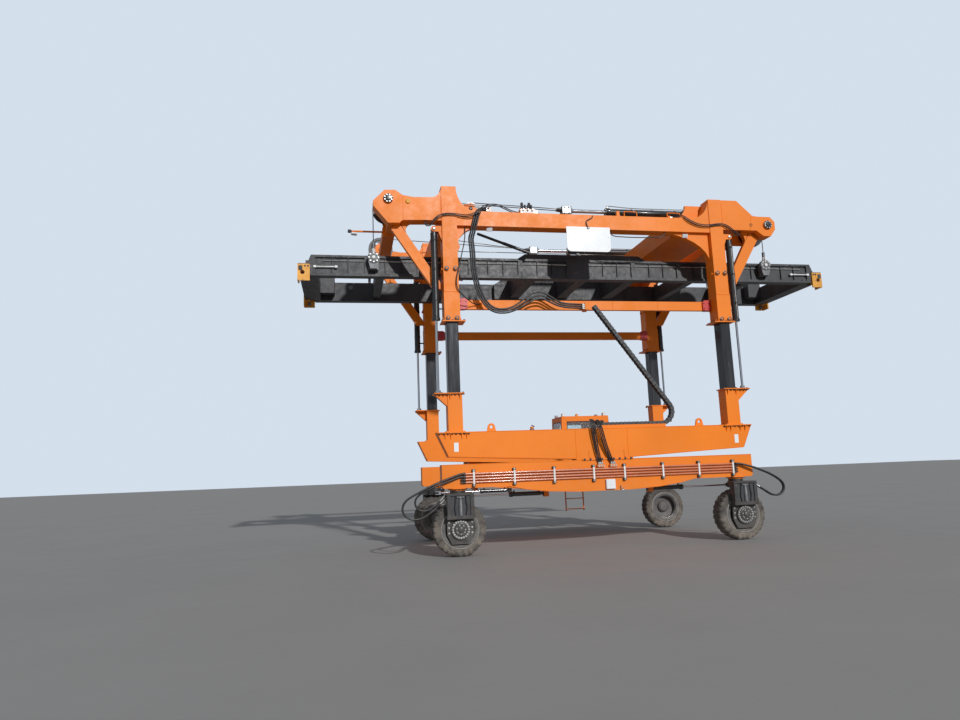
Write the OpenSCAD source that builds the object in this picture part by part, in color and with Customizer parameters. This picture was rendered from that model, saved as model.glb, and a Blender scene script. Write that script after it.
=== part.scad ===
// Straddle carrier for 40 foot containers: two side frames on four steered and
// driven wheels, a portal that telescopes on four legs, and a spreader that
// hangs from rope falls. X runs along the machine, Y across it, Z up.
// The near side, with the drag chain, is at -Y. Millimetres.

/* [Running gear] */
// Distance between the front and rear kingpins
wheel_base = 6000; // [5700:20:6400]
// Distance between the centre planes of the two side frames
track = 3700; // [3600:10:4000]
// Outer diameter of a tyre
tyre_d = 1050; // [960:10:1100]
// Width of a tyre
tyre_w = 350; // [300:5:380]
// Diameter of a rim at the tyre's bead
rim_d = 600; // [520:10:640]
// Gap between a tyre and the yoke over it
tyre_gap = 35; // [25:1:60]
// Gap between a tyre and the plate beside it
plate_gap = 20; // [12:1:40]
// Thickness of the yoke over a tyre
yoke_t = 125; // [100:5:160]
// Width of a knuckle along the machine
knuckle_w = 525; // [460:5:580]
// How far a knuckle's upper box stands out of its plate
knuckle_box_d = 100; // [60:5:140]
// Thickness of the plate that carries a hub drive
knuckle_plate_t = 45; // [30:1:60]
// Radius of the slewing ring over a wheel
swivel_r = 150; // [120:5:158]
// Height of each half of a slewing ring
swivel_h = 45; // [35:1:60]
// Radius of a hub drive's housing
hub_r = 150; // [120:5:170]
// Distance from a kingpin to the eye of its steering arm
steer_arm = 260; // [250:5:280]
// Length of a steering cylinder's barrel
steer_barrel_l = 750; // [600:10:850]

/* [Side frame] */
// Length of a rocker beam
rocker_l = 6640; // [6460:20:7000]
// Depth of the side frame's beams across the machine
beam_d = 320; // [280:5:340]
// Height of a rocker beam at its ends
rocker_h = 465; // [400:5:520]
// How far a rocker's belly hangs below its ends
rocker_belly = 164; // [100:2:190]
// Gap between box beam and rocker at the ends
rock_gap = 145; // [110:5:180]
// Length of a box beam along its top
beam_l = 6800; // [6640:20:7100]
// Height of a box beam at its ends
beam_h = 490; // [420:5:560]
// Height of a stub column over the box beam
stub_h = 780; // [600:10:900]
// Width of a stub column along the machine
stub_w = 291; // [270:1:300]
// Width of an inner leg along the machine
leg_w = 240; // [200:2:250]
// Depth of an inner leg across the machine
leg_d = 268; // [220:2:270]
// Length of an inner leg over its stub column
leg_l = 2800; // [2500:10:2850]
// Length of an inner leg that shows below its sleeve
leg_out = 1450; // [1420:10:1600]
// Thickness of the bolted flanges
flange_t = 22; // [14:1:30]
// Radius of a lift rod
lift_rod_r = 26; // [18:1:32]
// Radius of a lift cylinder's barrel
lift_barrel_r = 72; // [60:1:80]

/* [Portal] */
// Width of a column sleeve along the machine
sleeve_w = 310; // [290:2:330]
// Depth of a column sleeve across the machine
sleeve_d = 330; // [310:2:350]
// Wall of a column sleeve
sleeve_t = 16; // [10:1:20]
// Height of a right-hand sleeve
sleeve_h = 2820; // [2760:10:2900]
// How much taller a left-hand sleeve is
left_extra = 70; // [0:5:120]
// Height of the tie bars over the sleeves' feet
tie_z = 325; // [280:5:420]
// Height of a tie bar
tie_h = 198; // [140:2:240]
// Depth of a tie bar
tie_d = 90; // [60:5:120]
// Height of the upper beams over the sleeves' feet
upper_z = 2050; // [2000:10:2100]
// Height of an upper beam
upper_h = 320; // [260:5:360]
// Depth of an upper beam across the machine
upper_d = 290; // [240:5:310]
// Depth of a corner bracket across the machine
bracket_d = 290; // [240:5:310]
// Distance from a column's axis to the left sheave's hub
hub_out_left = 1252; // [1200:2:1290]
// Distance from a column's axis to the right sheave's hub
hub_out_right = 1271; // [1240:2:1300]
// Height of the left hubs over the sleeves' feet
hub_z_left = 2577; // [2540:5:2620]
// Height of the right hubs over the sleeves' feet
hub_z_right = 2265; // [2250:5:2300]
// Thickness of the cheeks inboard of the sheaves
cheek_t = 25; // [16:1:40]
// Height of the end ties' tops over the upper beams' underside
end_tie_h = 190; // [160:5:220]
// Width of the wide cross beam along the machine
cross_w = 1080; // [800:10:1120]
// Height of the cross beams
cross_h = 420; // [340:5:440]
// Thickness of the stiffeners over the wide cross beam
stiffener_t = 60; // [30:5:80]
// Distance of the left end tie from the column's outer face
tie_left_x = 930; // [880:5:980]
// Distance of the right end tie from the column's outer face
tie_right_x = 300; // [260:5:340]
// Width of the left end tie along the machine
tie_left_w = 250; // [180:5:280]
// Width of the right end tie along the machine
tie_right_w = 380; // [300:5:420]

/* [Hoist] */
// Radius of a corner sheave's axle
axle_r = 62; // [45:1:70]
// Radius at which a rope lies on a corner sheave
sheave_r = 285; // [260:1:290]
// Radius of a rope
rope_r = 10; // [7:1:13]
// Distance of the rope falls from the middle of the lane
fall_y = 1320; // [1290:2:1360]
// Radius of a hoist cylinder's barrel
hoist_barrel_r = 78; // [60:1:85]
// Radius of a hoist rod
hoist_rod_r = 42; // [30:1:48]
// Length of hoist rod that shows
hoist_rod_out = 830; // [800:5:900]
// Length of a hoist barrel
hoist_barrel_l = 1930; // [1700:10:2000]

/* [Spreader] */
// Length of the spreader over its corner guides
spreader_l = 12240; // [12200:10:12400]
// Distance of a lock from the spreader's end
lock_in = 127.5; // [110:0.5:170]
// Distance between the locks across the machine
lock_y = 2259; // [2200:1:2300]
// Height of a side beam
side_h = 450; // [380:5:500]
// Depth of a side beam across the machine
side_d = 210; // [160:5:240]
// Distance over the outer faces of the side beams
spreader_w = 2380; // [2340:5:2420]
// Distance from an end beam to the first cross member
member_in = 1450; // [1200:10:1700]
// Distance between the two cross members at each end
member_pitch = 1500; // [1200:10:1800]
// Width of a cross member along the machine
member_w = 180; // [120:5:240]
// Length of the middle frame to the left of the machine's middle
frame_left = 1500; // [1300:10:1700]
// Length of the middle frame to the right of the machine's middle
frame_right = 1900; // [1600:10:2100]
// Height of the middle frame over the side beams
crown_h = 180; // [120:5:200]
// Gap between the middle frame and the cross beams
hang = 230; // [225:1:300]

/* [Far side equipment] */
// Gap between the far box beam and the equipment beside it
pod_gap = 90; // [70:5:110]
// Length of the power pack's hood
hood_l = 2000; // [1700:20:2100]
// Depth of the power pack's hood
hood_d = 820; // [700:10:900]
// Height of the power pack's hood
hood_h = 1060; // [900:10:1100]
// Length of the cab
cab_l = 1380; // [1200:10:1500]
// Width of the cab
cab_w = 900; // [800:10:900]
// Height of the cab
cab_h = 1720; // [1600:10:1760]
// Wall of the cab
cab_t = 40; // [25:1:50]

/* [Hidden] */
$fn = 64;

// Running clearance between pieces that slide or turn on each other
fit = 0.3;
// Colours of the paint and of the bare pieces
orange = "#f08a28";
dark = "#2b2c2e";
chrome = "#c8ccd0";
grey = "#8f9396";

// Levels, from the ground up
wheel_x = wheel_base / 2;
side_y = track / 2;
hub_z = tyre_d / 2;
yoke_z = tyre_d + tyre_gap;
swivel_z = yoke_z + yoke_t;
rocker_z = swivel_z + 2 * swivel_h;
rocker_top = rocker_z + rocker_h;
beam_z = rocker_top + rock_gap;
beam_top = beam_z + beam_h;
stub_top = beam_top + stub_h;
foot_z = stub_top + leg_out;
col_x = wheel_x + 15;
sleeve_top = foot_z + sleeve_h;
upper_bottom = foot_z + upper_z;
upper_top = upper_bottom + upper_h;
cross_z = upper_bottom - 30;
frame_top = cross_z - hang;
side_top = frame_top - crown_h;
side_z = side_top - side_h;
hub_left_x = col_x + hub_out_left;
hub_right_x = col_x + hub_out_right;
hub_left_z = foot_z + hub_z_left;
hub_right_z = foot_z + hub_z_right;

// Planes across the machine, as distances from the middle of the lane
beam_out = side_y + beam_d / 2;
beam_in = side_y - beam_d / 2;
sleeve_out = side_y + sleeve_d / 2;
sleeve_in = side_y - sleeve_d / 2;
plate_in = side_y + tyre_w / 2 + plate_gap;
plate_out = plate_in + knuckle_plate_t;
box_out = plate_out + knuckle_box_d;
steer_y = side_y - steer_arm;
steer_z = yoke_z + 45;

// The equipment on the far side stands out past the wheels, and the frame's
// origin is under the middle of the whole machine
pod_in = beam_out + pod_gap;
cab_out = pod_in + cab_w;
door_t = 35;
far_edge = cab_out + fit + door_t + 25;
lane_y = (box_out - far_edge) / 2;

// Shapes between two planes
module at_lane() translate([0, lane_y, 0]) children();
module block(x, y, z) translate([x[0], y[0], z[0]]) cube([x[1] - x[0], y[1] - y[0], z[1] - z[0]]);
module xz(points, y0, y1) translate([0, y1, 0]) rotate([90, 0, 0]) linear_extrude(y1 - y0) polygon(points);
module yz(points, x0, x1) translate([x0, 0, 0]) rotate([90, 0, 90]) linear_extrude(x1 - x0) polygon(points);
module bar_x(x0, x1, y, z, r) translate([x0, y, z]) rotate([0, 90, 0]) cylinder(h = x1 - x0, r = r);
module bar_y(x, y0, y1, z, r) translate([x, y1, z]) rotate([90, 0, 0]) cylinder(h = y1 - y0, r = r);
module bar_z(x, y, z0, z1, r) translate([x, y, z0]) cylinder(h = z1 - z0, r = r);
module both_ends() { children(); mirror([1, 0, 0]) children(); }
module both_sides() { children(); mirror([0, 1, 0]) children(); }
module far() mirror([0, 1, 0]) children();
// Points of an arc round (cx, cz) with half axes rx and rz, from angle a0 to a1
function arc(cx, cz, rx, rz, a0, a1, n = 8) =
    [for (i = [0:n]) let (a = a0 + (a1 - a0) * i / n) [cx + rx * cos(a), cz + rz * sin(a)]];
// The near side's face at a distance from the lane's middle is at -Y
function near(d0, d1) = [-max(d0, d1), -min(d0, d1)];

// Box beam: slanted ends, an underside that falls to the pivot block in the
// middle, two stub columns with bolted flanges, and lifting eyes
eye_x = 2270;
eye_r = 32;
eye_t = 30;
eye_h = 90;
pivot_l = 560;
stub_foot = 415;
pivot_z = rocker_top + 20;
module box_beam_side() {
    top_x = beam_l / 2;
    low_x = top_x - 230;
    xz([[-top_x, beam_top], [-low_x, beam_z], [-pivot_l, pivot_z], [-pivot_l, rocker_top],
        [pivot_l, rocker_top], [pivot_l, pivot_z], [low_x, beam_z], [top_x, beam_top]],
        -beam_out, -beam_in);
    both_ends() {
        // Stub column, its foot flange, and its top flange out to the lift rod's foot
        block([col_x - stub_w / 2, col_x + stub_w / 2], near(sleeve_in + 15, sleeve_out - 15),
            [beam_top, stub_top - flange_t]);
        block([col_x - stub_w / 2 - 45, col_x + stub_w / 2 + 45], near(beam_in, beam_out),
            [beam_top, beam_top + flange_t]);
        block([col_x - stub_w / 2 - 33, col_x + stub_foot], near(sleeve_in, sleeve_out),
            [stub_top - flange_t, stub_top]);
        xz([[col_x + stub_w / 2, stub_top - flange_t], [col_x + stub_w / 2, stub_top - flange_t - 250],
            [col_x + stub_foot, stub_top - flange_t]], -lift_y - 70, -lift_y + 70);
        // Lifting eye
        difference() {
            union() {
                xz(concat([[eye_x + 95, beam_top], [eye_x - 95, beam_top]],
                    arc(eye_x, beam_top + eye_h, 75, 75, 180, 0, 12)), -side_y - eye_t / 2, -side_y + eye_t / 2);
            }
            bar_y(eye_x, -side_y - eye_t, -side_y + eye_t, beam_top + eye_h, eye_r);
        }
    }
}
// The lift cylinders stand outboard of the columns, near their outer face
lift_x = col_x + 320;
lift_y = side_y + 60;

// Rocker beam with a bellied underside, the upper halves of the slewing
// rings, the steering cylinders' brackets, and four pipes in clamps
pipe_r = 17;
pipe_rows = [1410, 1465, 1520, 1575];
pipe_ends = 2900;
module rocker_side() {
    e = rocker_l / 2;
    b = rocker_z - rocker_belly;
    xz(concat([[-e, rocker_top], [-e, rocker_z + 40], [-e + 40, rocker_z]],
        [[-2000, rocker_z], [-1650, rocker_z - 0.45 * rocker_belly], [-1200, b + 0.2 * rocker_belly], [-600, b]],
        [[600, b], [1200, b + 0.2 * rocker_belly], [1650, rocker_z - 0.45 * rocker_belly], [2000, rocker_z]],
        [[e - 40, rocker_z], [e, rocker_z + 40], [e, rocker_top]]), -beam_out, -beam_in);
    both_ends() {
        bar_z(wheel_x, -side_y, swivel_z + swivel_h + fit, rocker_z, swivel_r);
        bar_z(wheel_x, -side_y, rocker_z - 12, rocker_z, swivel_r + 50);
        // Steering cylinder's bracket on the inner face
        for (z = [steer_z + 52, steer_z - 72])
            block([steer_base_x - 60, steer_base_x + 40], near(steer_y - 35, beam_in), [z, z + 20]);
        block([steer_base_x - 60, steer_base_x + 40], near(beam_in - 20, beam_in), [steer_z - 72, rocker_z + 90]);
        bar_z(steer_base_x, -steer_y, steer_z - 72, steer_z + 72, 20);
    }
    for (z = pipe_rows) bar_x(-pipe_ends, pipe_ends, -beam_out - 34, z - 1300 + rocker_z, pipe_r);
    for (x = clamp_x)
        block([x - 30, x + 30], near(beam_out, beam_out + 34), [pipe_rows[0] - 35 - 1300 + rocker_z,
            pipe_rows[3] + 35 - 1300 + rocker_z]);
}
clamp_x = [-2700, -1880, -1060, -230, 430, 1270, 2075, 2850];
steer_rod_out = 1100;
steer_base_x = wheel_x - steer_rod_out - steer_barrel_l;

// Inner legs: square tubes with rounded corners, closed at the top
module inner_legs_side()
    both_ends()
        difference() {
            block([col_x - leg_w / 2, col_x + leg_w / 2], near(side_y - leg_d / 2, side_y + leg_d / 2),
                [stub_top, stub_top + leg_l]);
            for (sx = [-1, 1], sy = [-1, 1])
                translate([col_x + sx * leg_w / 2, -side_y + sy * leg_d / 2, stub_top - 1])
                    rotate([0, 0, 45]) cube([22, 22, 2 * leg_l + 2], center = true);
        }

lift_barrel_z = foot_z + 40;
lift_ear_z = foot_z + 1970;
lift_rod_top = lift_barrel_z + 430;
module lift_rods_side()
    both_ends() {
        bar_z(lift_x, -lift_y, stub_top, lift_rod_top, lift_rod_r);
        bar_z(lift_x, -lift_y, stub_top, stub_top + 60, lift_rod_r + 24);
    }

module steer_barrels_side()
    both_ends() {
        x0 = steer_base_x;
        x1 = x0 + steer_barrel_l;
        difference() {
            union() {
                bar_x(x0 + 90, x1, -steer_y, steer_z, 45);
                block([x0, x0 + 95], near(steer_y - 28, steer_y + 28), [steer_z - 30, steer_z + 30]);
                bar_x(x1 - 60, x1, -steer_y, steer_z, 52);
                bar_z(x0, -steer_y, steer_z - 52 + fit, steer_z + 52 - fit, 50);
            }
            bar_x(x0 + 160, x1 - 60, -steer_y, steer_z, 32);
            bar_x(x0 + 160, x1 + 1, -steer_y, steer_z, 20 + fit);
            bar_z(x0, -steer_y, steer_z - 80, steer_z + 80, 20 + fit);
        }
    }

// A steering rod with its forked end; the arm's eye lies between its cheeks
module steer_rod(sx, sy) {
    x0 = wheel_x - steer_rod_out;
    scale_x = sx;
    mirror([scale_x < 0 ? 1 : 0, 0, 0]) mirror([0, sy > 0 ? 1 : 0, 0]) {
        bar_x(x0 - 330, wheel_x - 70, -steer_y, steer_z, 20);
        block([wheel_x - 110, wheel_x - 62], near(steer_y - 34, steer_y + 34), [steer_z - 40, steer_z + 40]);
        for (z = [steer_z - 40, steer_z + 24]) {
            block([wheel_x - 62, wheel_x], near(steer_y - 34, steer_y + 34), [z, z + 16]);
            bar_z(wheel_x, -steer_y, z, z + 16, 34);
        }
    }
}

// Knuckle: lower half of the slewing ring, yoke over the tyre, box and plate
// beside it, hub drive and steering arm
module knuckle(sx, sy) {
    w = knuckle_w / 2;
    ledge_z = 0.7 * tyre_d;
    mirror([0, sy > 0 ? 1 : 0, 0]) translate([sx * wheel_x, 0, 0]) {
        bar_z(0, -side_y, swivel_z, swivel_z + swivel_h, swivel_r);
        bar_z(0, -side_y, yoke_z, swivel_z, swivel_r + 5);
        difference() {
            block([-w, w], near(side_y, box_out), [yoke_z, swivel_z]);
            for (s = [-1, 1])
                translate([s * w, -side_y, yoke_z - 1]) cylinder(h = yoke_t + 2, r = w - swivel_r - 5);
        }
        block([-w, w], near(plate_in, box_out), [ledge_z, yoke_z]);
        xz([[-w, yoke_z], [-w, 430], [-w + 90, 250], [w - 90, 250], [w, 430], [w, yoke_z]],
            -plate_out, -plate_in);
        bar_y(0, -plate_out - 40, -plate_out, hub_z, hub_r + 38);
        bar_y(0, -plate_out - 70, -plate_out, hub_z, hub_r - 40);
        // Hub drive's standing half, inside the rim
        bar_y(0, -plate_in, -side_y - 40, hub_z, hub_r);
        // Steering arm and its eye
        block([-40, 40], near(steer_y, side_y), [steer_z - 18, steer_z + 18]);
        bar_z(0, -steer_y, steer_z - 18, steer_z + 18, 40);
    }
}

module tyre(sx, sy) {
    r = tyre_d / 2;
    h = tyre_w / 2;
    b = rim_d / 2;
    translate([sx * wheel_x, sy * side_y, hub_z]) rotate([90, 0, 0])
        rotate_extrude($fn = 96)
            polygon([[b, -h + 40], [b + 45, -h + 10], [b + 130, -h], [r - 25, -h + 17], [r, -h + 50],
                [r, h - 50], [r - 25, h - 17], [b + 130, h], [b + 45, h - 10], [b, h - 40]]);
}
module rim(sx, sy) {
    h = tyre_w / 2;
    b = rim_d / 2 - fit;
    translate([sx * wheel_x, sy * side_y, hub_z]) mirror([0, sy > 0 ? 1 : 0, 0]) rotate([-90, 0, 0])
        rotate_extrude($fn = 96) {
            // Barrel of the rim with its two flanges
            polygon([[b - 16, -h + 18], [b + 18, -h + 18], [b + 18, -h + 25], [b, -h + 38], [b, h - 38],
                [b + 18, h - 25], [b + 18, h - 18], [b - 16, h - 18]]);
            // Disc, and the turning half of the hub drive
            polygon([[0, -40 + fit], [hub_r, -40 + fit], [hub_r, -16], [b - 10, 4], [b - 10, 24], [hub_r, 6],
                [hub_r - 20, 60], [hub_r - 60, 90], [0, 90]]);
        }
}

// Column sleeves with wear pads, their adjusters, foot flanges and ears
module sleeve(x, top) {
    inner_x = sleeve_w / 2 - sleeve_t;
    inner_y = sleeve_d / 2 - sleeve_t;
    pad_x = leg_w / 2 + fit;
    pad_y = leg_d / 2 + fit;
    translate([x, -side_y, 0]) {
        difference() {
            union() {
                block([-sleeve_w / 2, sleeve_w / 2], [-sleeve_d / 2, sleeve_d / 2], [foot_z, top]);
                block([-sleeve_w / 2 - 8, sleeve_w / 2 + 8], [-sleeve_d / 2 - 8, sleeve_d / 2 + 8],
                    [foot_z, foot_z + 620]);
                block([-sleeve_w / 2 - 110, sleeve_w / 2 + 60], [-sleeve_d / 2 - 40, sleeve_d / 2 + 40],
                    [foot_z, foot_z + flange_t]);
            }
            block([-inner_x, inner_x], [-inner_y, inner_y], [foot_z - 1, top - sleeve_t]);
        }
        for (z = [foot_z + 70, foot_z + 1110]) {
            for (s = [-1, 1]) {
                mirror([s < 0 ? 1 : 0, 0, 0])
                    block([pad_x, inner_x], [-90, 90], [z - 60, z + 60]);
                mirror([0, s < 0 ? 1 : 0, 0])
                    block([-80, 80], [pad_y, inner_y], [z - 60, z + 60]);
                for (u = [-90, 90]) {
                    bar_y(u, -sleeve_d / 2 - 30, -sleeve_d / 2, z, 32);
                    mirror([s < 0 ? 1 : 0, 0, 0]) bar_x(sleeve_w / 2, sleeve_w / 2 + 34, u, z, 26);
                }
            }
        }
    }
}
module columns_side() {
    sleeve(col_x, sleeve_top);
    mirror([1, 0, 0]) sleeve(col_x, sleeve_top + left_extra);
    // Ears that carry the lift cylinders
    both_ends()
        for (y = [-lift_y - 62, -lift_y + 40])
            difference() {
                union() {
                    block([col_x + sleeve_w / 2, lift_x], [y, y + 22], [lift_ear_z - 60, lift_ear_z + 60]);
                    bar_y(lift_x, y, y + 22, lift_ear_z, 60);
                }
                bar_y(lift_x, y - 1, y + 23, lift_ear_z, 25);
            }
}

module lift_barrels() both_sides() both_ends()
    difference() {
        union() {
            bar_z(lift_x, -lift_y, lift_barrel_z, lift_ear_z - 75, lift_barrel_r);
            bar_y(lift_x, -lift_y - 40 + fit, -lift_y + 40 - fit, lift_ear_z, 58);
            block([lift_x - 40, lift_x + 40], near(lift_y - 39, lift_y + 39), [lift_ear_z - 80, lift_ear_z]);
            bar_y(lift_x, -lift_y - 70, -lift_y + 70, lift_ear_z, 25 - fit);
            // Clamp that ties the barrel to the column
            block([col_x + sleeve_w / 2 + 8, lift_x], near(lift_y - 14, lift_y + 14), [foot_z + 270, foot_z + 300]);
        }
        bar_z(lift_x, -lift_y, lift_barrel_z + 80, lift_rod_top + 1480, lift_rod_r + 12);
        bar_z(lift_x, -lift_y, lift_barrel_z - 1, lift_barrel_z + 90, lift_rod_r + fit);
    }

// Upper beam with concave gussets to the columns
module upper_beam_side() {
    x = col_x - sleeve_w / 2;
    rise_l = 420;
    rise_h = sleeve_top - upper_top;
    knee_left = [500, 480];
    knee_right = [1240, 720];
    block([-x, x], near(side_y - upper_d / 2, side_y + upper_d / 2), [upper_bottom, upper_top]);
    xz(concat([[-x, upper_top], [-x, upper_top + rise_h + left_extra]],
        arc(-x + rise_l, upper_top + rise_h + left_extra, rise_l, rise_h + left_extra, 180, 270)),
        -side_y - upper_d / 2, -side_y + upper_d / 2);
    xz(concat([[x, upper_top], [x, upper_top + rise_h]],
        arc(x - rise_l, upper_top + rise_h, rise_l, rise_h, 0, -90)),
        -side_y - upper_d / 2, -side_y + upper_d / 2);
    xz(concat([[-x, upper_bottom], [-x, upper_bottom - knee_left[1]]],
        arc(-x + knee_left[0], upper_bottom - knee_left[1], knee_left[0], knee_left[1], 180, 90)),
        -side_y - 60, -side_y + 60);
    xz(concat([[x, upper_bottom], [x, upper_bottom - knee_right[1]]],
        arc(x - knee_right[0], upper_bottom - knee_right[1], knee_right[0], knee_right[1], 0, 90)),
        -side_y - 60, -side_y + 60);
}
module upper_beams() both_sides() upper_beam_side();

module tie_bars() both_sides() {
    x = col_x - sleeve_w / 2 - 8;
    y = sleeve_in - tie_d / 2;
    block([-x + 140, x - 140], near(y, y + tie_d), [foot_z + tie_z, foot_z + tie_z + tie_h]);
    both_ends() {
        block([x - 140, x], near(y - 10, y + tie_d + 40), [foot_z + tie_z + 30, foot_z + tie_z + tie_h + 20]);
        xz(concat([[x, foot_z + tie_z + 30], [x, foot_z + tie_z - 90]],
            arc(x - 160, foot_z + tie_z - 90, 160, 120, 0, 90)), -y - tie_d, -y - tie_d + 30);
    }
}

// Corner brackets that carry the sheaves past the columns. Outlines are
// [distance from the column's outer face, height over the sleeves' feet]
module bracket_plates(outline, y0, y1) {
    x = col_x + sleeve_w / 2;
    xz([for (p = outline) [x + p[0], foot_z + p[1]]], y0, y1);
}
left_outline = concat([[0, 2145]],
    arc(200, sleeve_h + left_extra, 200, sleeve_h + left_extra - 2645, 180, 270, 6),
    [[575, 2634], [797, 2668], [950, 2777], [1169, 2768], [1405, 2529], [1400, 2420], [1103, 2064],
    [870, 2072], [808, 2131], [335, 2146]]);
right_outline = [[0, 2130], [0, sleeve_h], [404, sleeve_h], [771, 2475], [900, 2461], [1202, 2461],
    [1312, 2351], [1312, 2170], [1190, 2006], [1010, 2006], [840, 2130]];
// A strut from under the bracket's tip down to the column
left_strut = [[880, 2140], [1040, 2000], [195, 730], [0, 730], [0, 800]];
right_strut = [[760, 2140], [957, 1990], [195, 730], [0, 730], [0, 800]];
module bracket_side(outline, strut, hub, inner, foot) {
    out = side_y + bracket_d / 2;
    bracket_plates(outline, -out, -out + bracket_d);
    bracket_plates(strut, -side_y + 20, -side_y + 130);
    // Cheek inboard of the sheave, and the sheave's axle
    bracket_plates(inner, -fall_y + 60, -fall_y + 60 + cheek_t);
    bar_y(hub[0], -out - 14, -fall_y + 80 + cheek_t, hub[1], axle_r);
    bar_y(hub[0], -out - 30, -out, hub[1], 100);
}
left_cheek = [[860, 2040], [860, 2240], [960, 2640], [1040, 2700], [1160, 2700], [1230, 2620], [1230, 2480],
    [1120, 2040]];
right_cheek = [[300, 2010], [300, 2240], [700, 2330], [1040, 2400], [1190, 2400], [1270, 2320], [1270, 2200],
    [1180, 2120], [900, 2010]];
module corner_brackets() both_sides() {
    bracket_side(right_outline, right_strut, [hub_right_x, hub_right_z], right_cheek);
    mirror([1, 0, 0]) bracket_side(left_outline, left_strut, [hub_left_x, hub_left_z], left_cheek);
}

// A sheave: groove, rim, web with round windows and hub
module sheave(x, y, z, r) translate([x, y, z]) rotate([90, 0, 0])
    difference() {
        rotate_extrude($fn = 72)
            polygon([[axle_r + fit, -40], [100, -40], [100, -10], [r - 55, -10], [r - 45, -26], [r + 16, -26],
                [r + 16, -20], [r - rope_r - fit, -rope_r - 1], [r - rope_r - fit, rope_r + 1], [r + 16, 20],
                [r + 16, 26], [r - 45, 26], [r - 55, 10], [100, 10], [100, 40], [axle_r + fit, 40]]);
        for (a = [0:60:300]) rotate([0, 0, a]) translate([0.58 * r, 0, 0]) cylinder(h = 30, r = 0.14 * r, center = true);
    }
turn_x = 2420;
turn_r = 150;
module sheaves() both_sides() {
    sheave(-hub_left_x, -fall_y, hub_left_z, sheave_r);
    sheave(hub_right_x, -fall_y, hub_right_z, sheave_r);
}

// Cross members between the two sides
cross_right = [col_x + 115 - cross_w, col_x + 115];
cross_left = [-col_x - 150, -col_x + 150];
module cross_beams() {
    y = sleeve_in;
    tie_y = fall_y - 60 - cheek_t;
    block(cross_right, [-y, y], [cross_z, cross_z + cross_h]);
    block(cross_left, [-y, y], [cross_z, cross_z + cross_h]);
    // End ties under the sheaves
    tie_top = upper_bottom + end_tie_h;
    xl = col_x + sleeve_w / 2 + tie_left_x;
    block([-xl - tie_left_w, -xl], [-tie_y, tie_y], [tie_top - 200, tie_top]);
    xr = col_x + sleeve_w / 2 + tie_right_x;
    block([xr, xr + tie_right_w], [-tie_y, tie_y], [tie_top - 230, tie_top]);
    both_sides() {
        // Links from the ties out to the brackets, clear of the falls
        block([-xl - tie_left_w + 60, -xl - 20], near(tie_y + cheek_t, side_y - bracket_d / 2),
            [tie_top - 180, tie_top - 100]);
        block([xr + 20, xr + tie_right_w - 80], near(tie_y + cheek_t, side_y - bracket_d / 2),
            [tie_top - 100, tie_top]);
        // Curved stiffener over the wide cross beam
        x1 = cross_right[1];
        x0 = cross_right[0];
        xz(concat([[x1 - 200, cross_z + cross_h], [x1 - 200, sleeve_top - 40]],
            [[x0 + 420, sleeve_top - 40]], arc(x0, sleeve_top - 40, 420, sleeve_top - 40 - cross_z - cross_h, 0, -90)),
            -sleeve_in, -sleeve_in + stiffener_t);
        // Bracket for the hoist cylinder's foot
        block([hoist_foot - 60, hoist_foot + 120], near(hoist_y - 90, hoist_y + 90),
            [cross_z + cross_h, hoist_z - hoist_barrel_r]);
    }
}

// Hoist cylinders lie on top, inboard of the upper beams
hoist_y = side_y - 430;
hoist_foot = col_x - 375;
hoist_z = cross_z + cross_h + 230;
hoist_gland = hoist_foot - hoist_barrel_l - 60;
module hoist_barrels() both_sides() {
    difference() {
        union() {
            bar_x(hoist_gland, hoist_foot - 60, -hoist_y, hoist_z, hoist_barrel_r);
            bar_x(hoist_gland, hoist_gland + 90, -hoist_y, hoist_z, hoist_barrel_r + 14);
            block([hoist_foot - 60, hoist_foot + 60], near(hoist_y - 50, hoist_y + 50),
                [hoist_z - hoist_barrel_r, hoist_z + 50]);
        }
        bar_x(hoist_gland + 80, hoist_foot - 120, -hoist_y, hoist_z, hoist_rod_r + 14);
        bar_x(hoist_gland - 1, hoist_gland + 90, -hoist_y, hoist_z, hoist_rod_r + fit);
    }
    // Saddle that carries the barrel's front end from the upper beam
    saddle_x = [hoist_gland + 250, hoist_gland + 330];
    block(saddle_x, near(hoist_y - 50, side_y), [upper_top, upper_top + 50]);
    block(saddle_x, near(hoist_y - 50, hoist_y + 50), [upper_top, hoist_z - 0.8 * hoist_barrel_r]);
}
module hoist_rods() both_sides() {
    head = hoist_gland - hoist_rod_out;
    bar_x(head, hoist_gland + 200, -hoist_y, hoist_z, hoist_rod_r);
    block([head - 200, head], near(hoist_y - 75, hoist_y + 75), [hoist_z - 75, hoist_z + 75]);
}

// Blank plate under the near upper beam, with rounded lower corners
sign_w = 980;
sign_h = 550;
sign_r = 90;
module sign_plate() {
    x = sign_w / 2;
    z = upper_bottom + 40 - sign_h;
    y = side_y + upper_d / 2;
    xz(concat([[x, z + sign_h], [-x, z + sign_h]], arc(-x + sign_r, z + sign_r, sign_r, sign_r, 180, 270),
        arc(x - sign_r, z + sign_r, sign_r, sign_r, 270, 360)), -y - 14, -y);
    bar_y(0, -y - 30, -y, upper_bottom + 20, 22);
}

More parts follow.
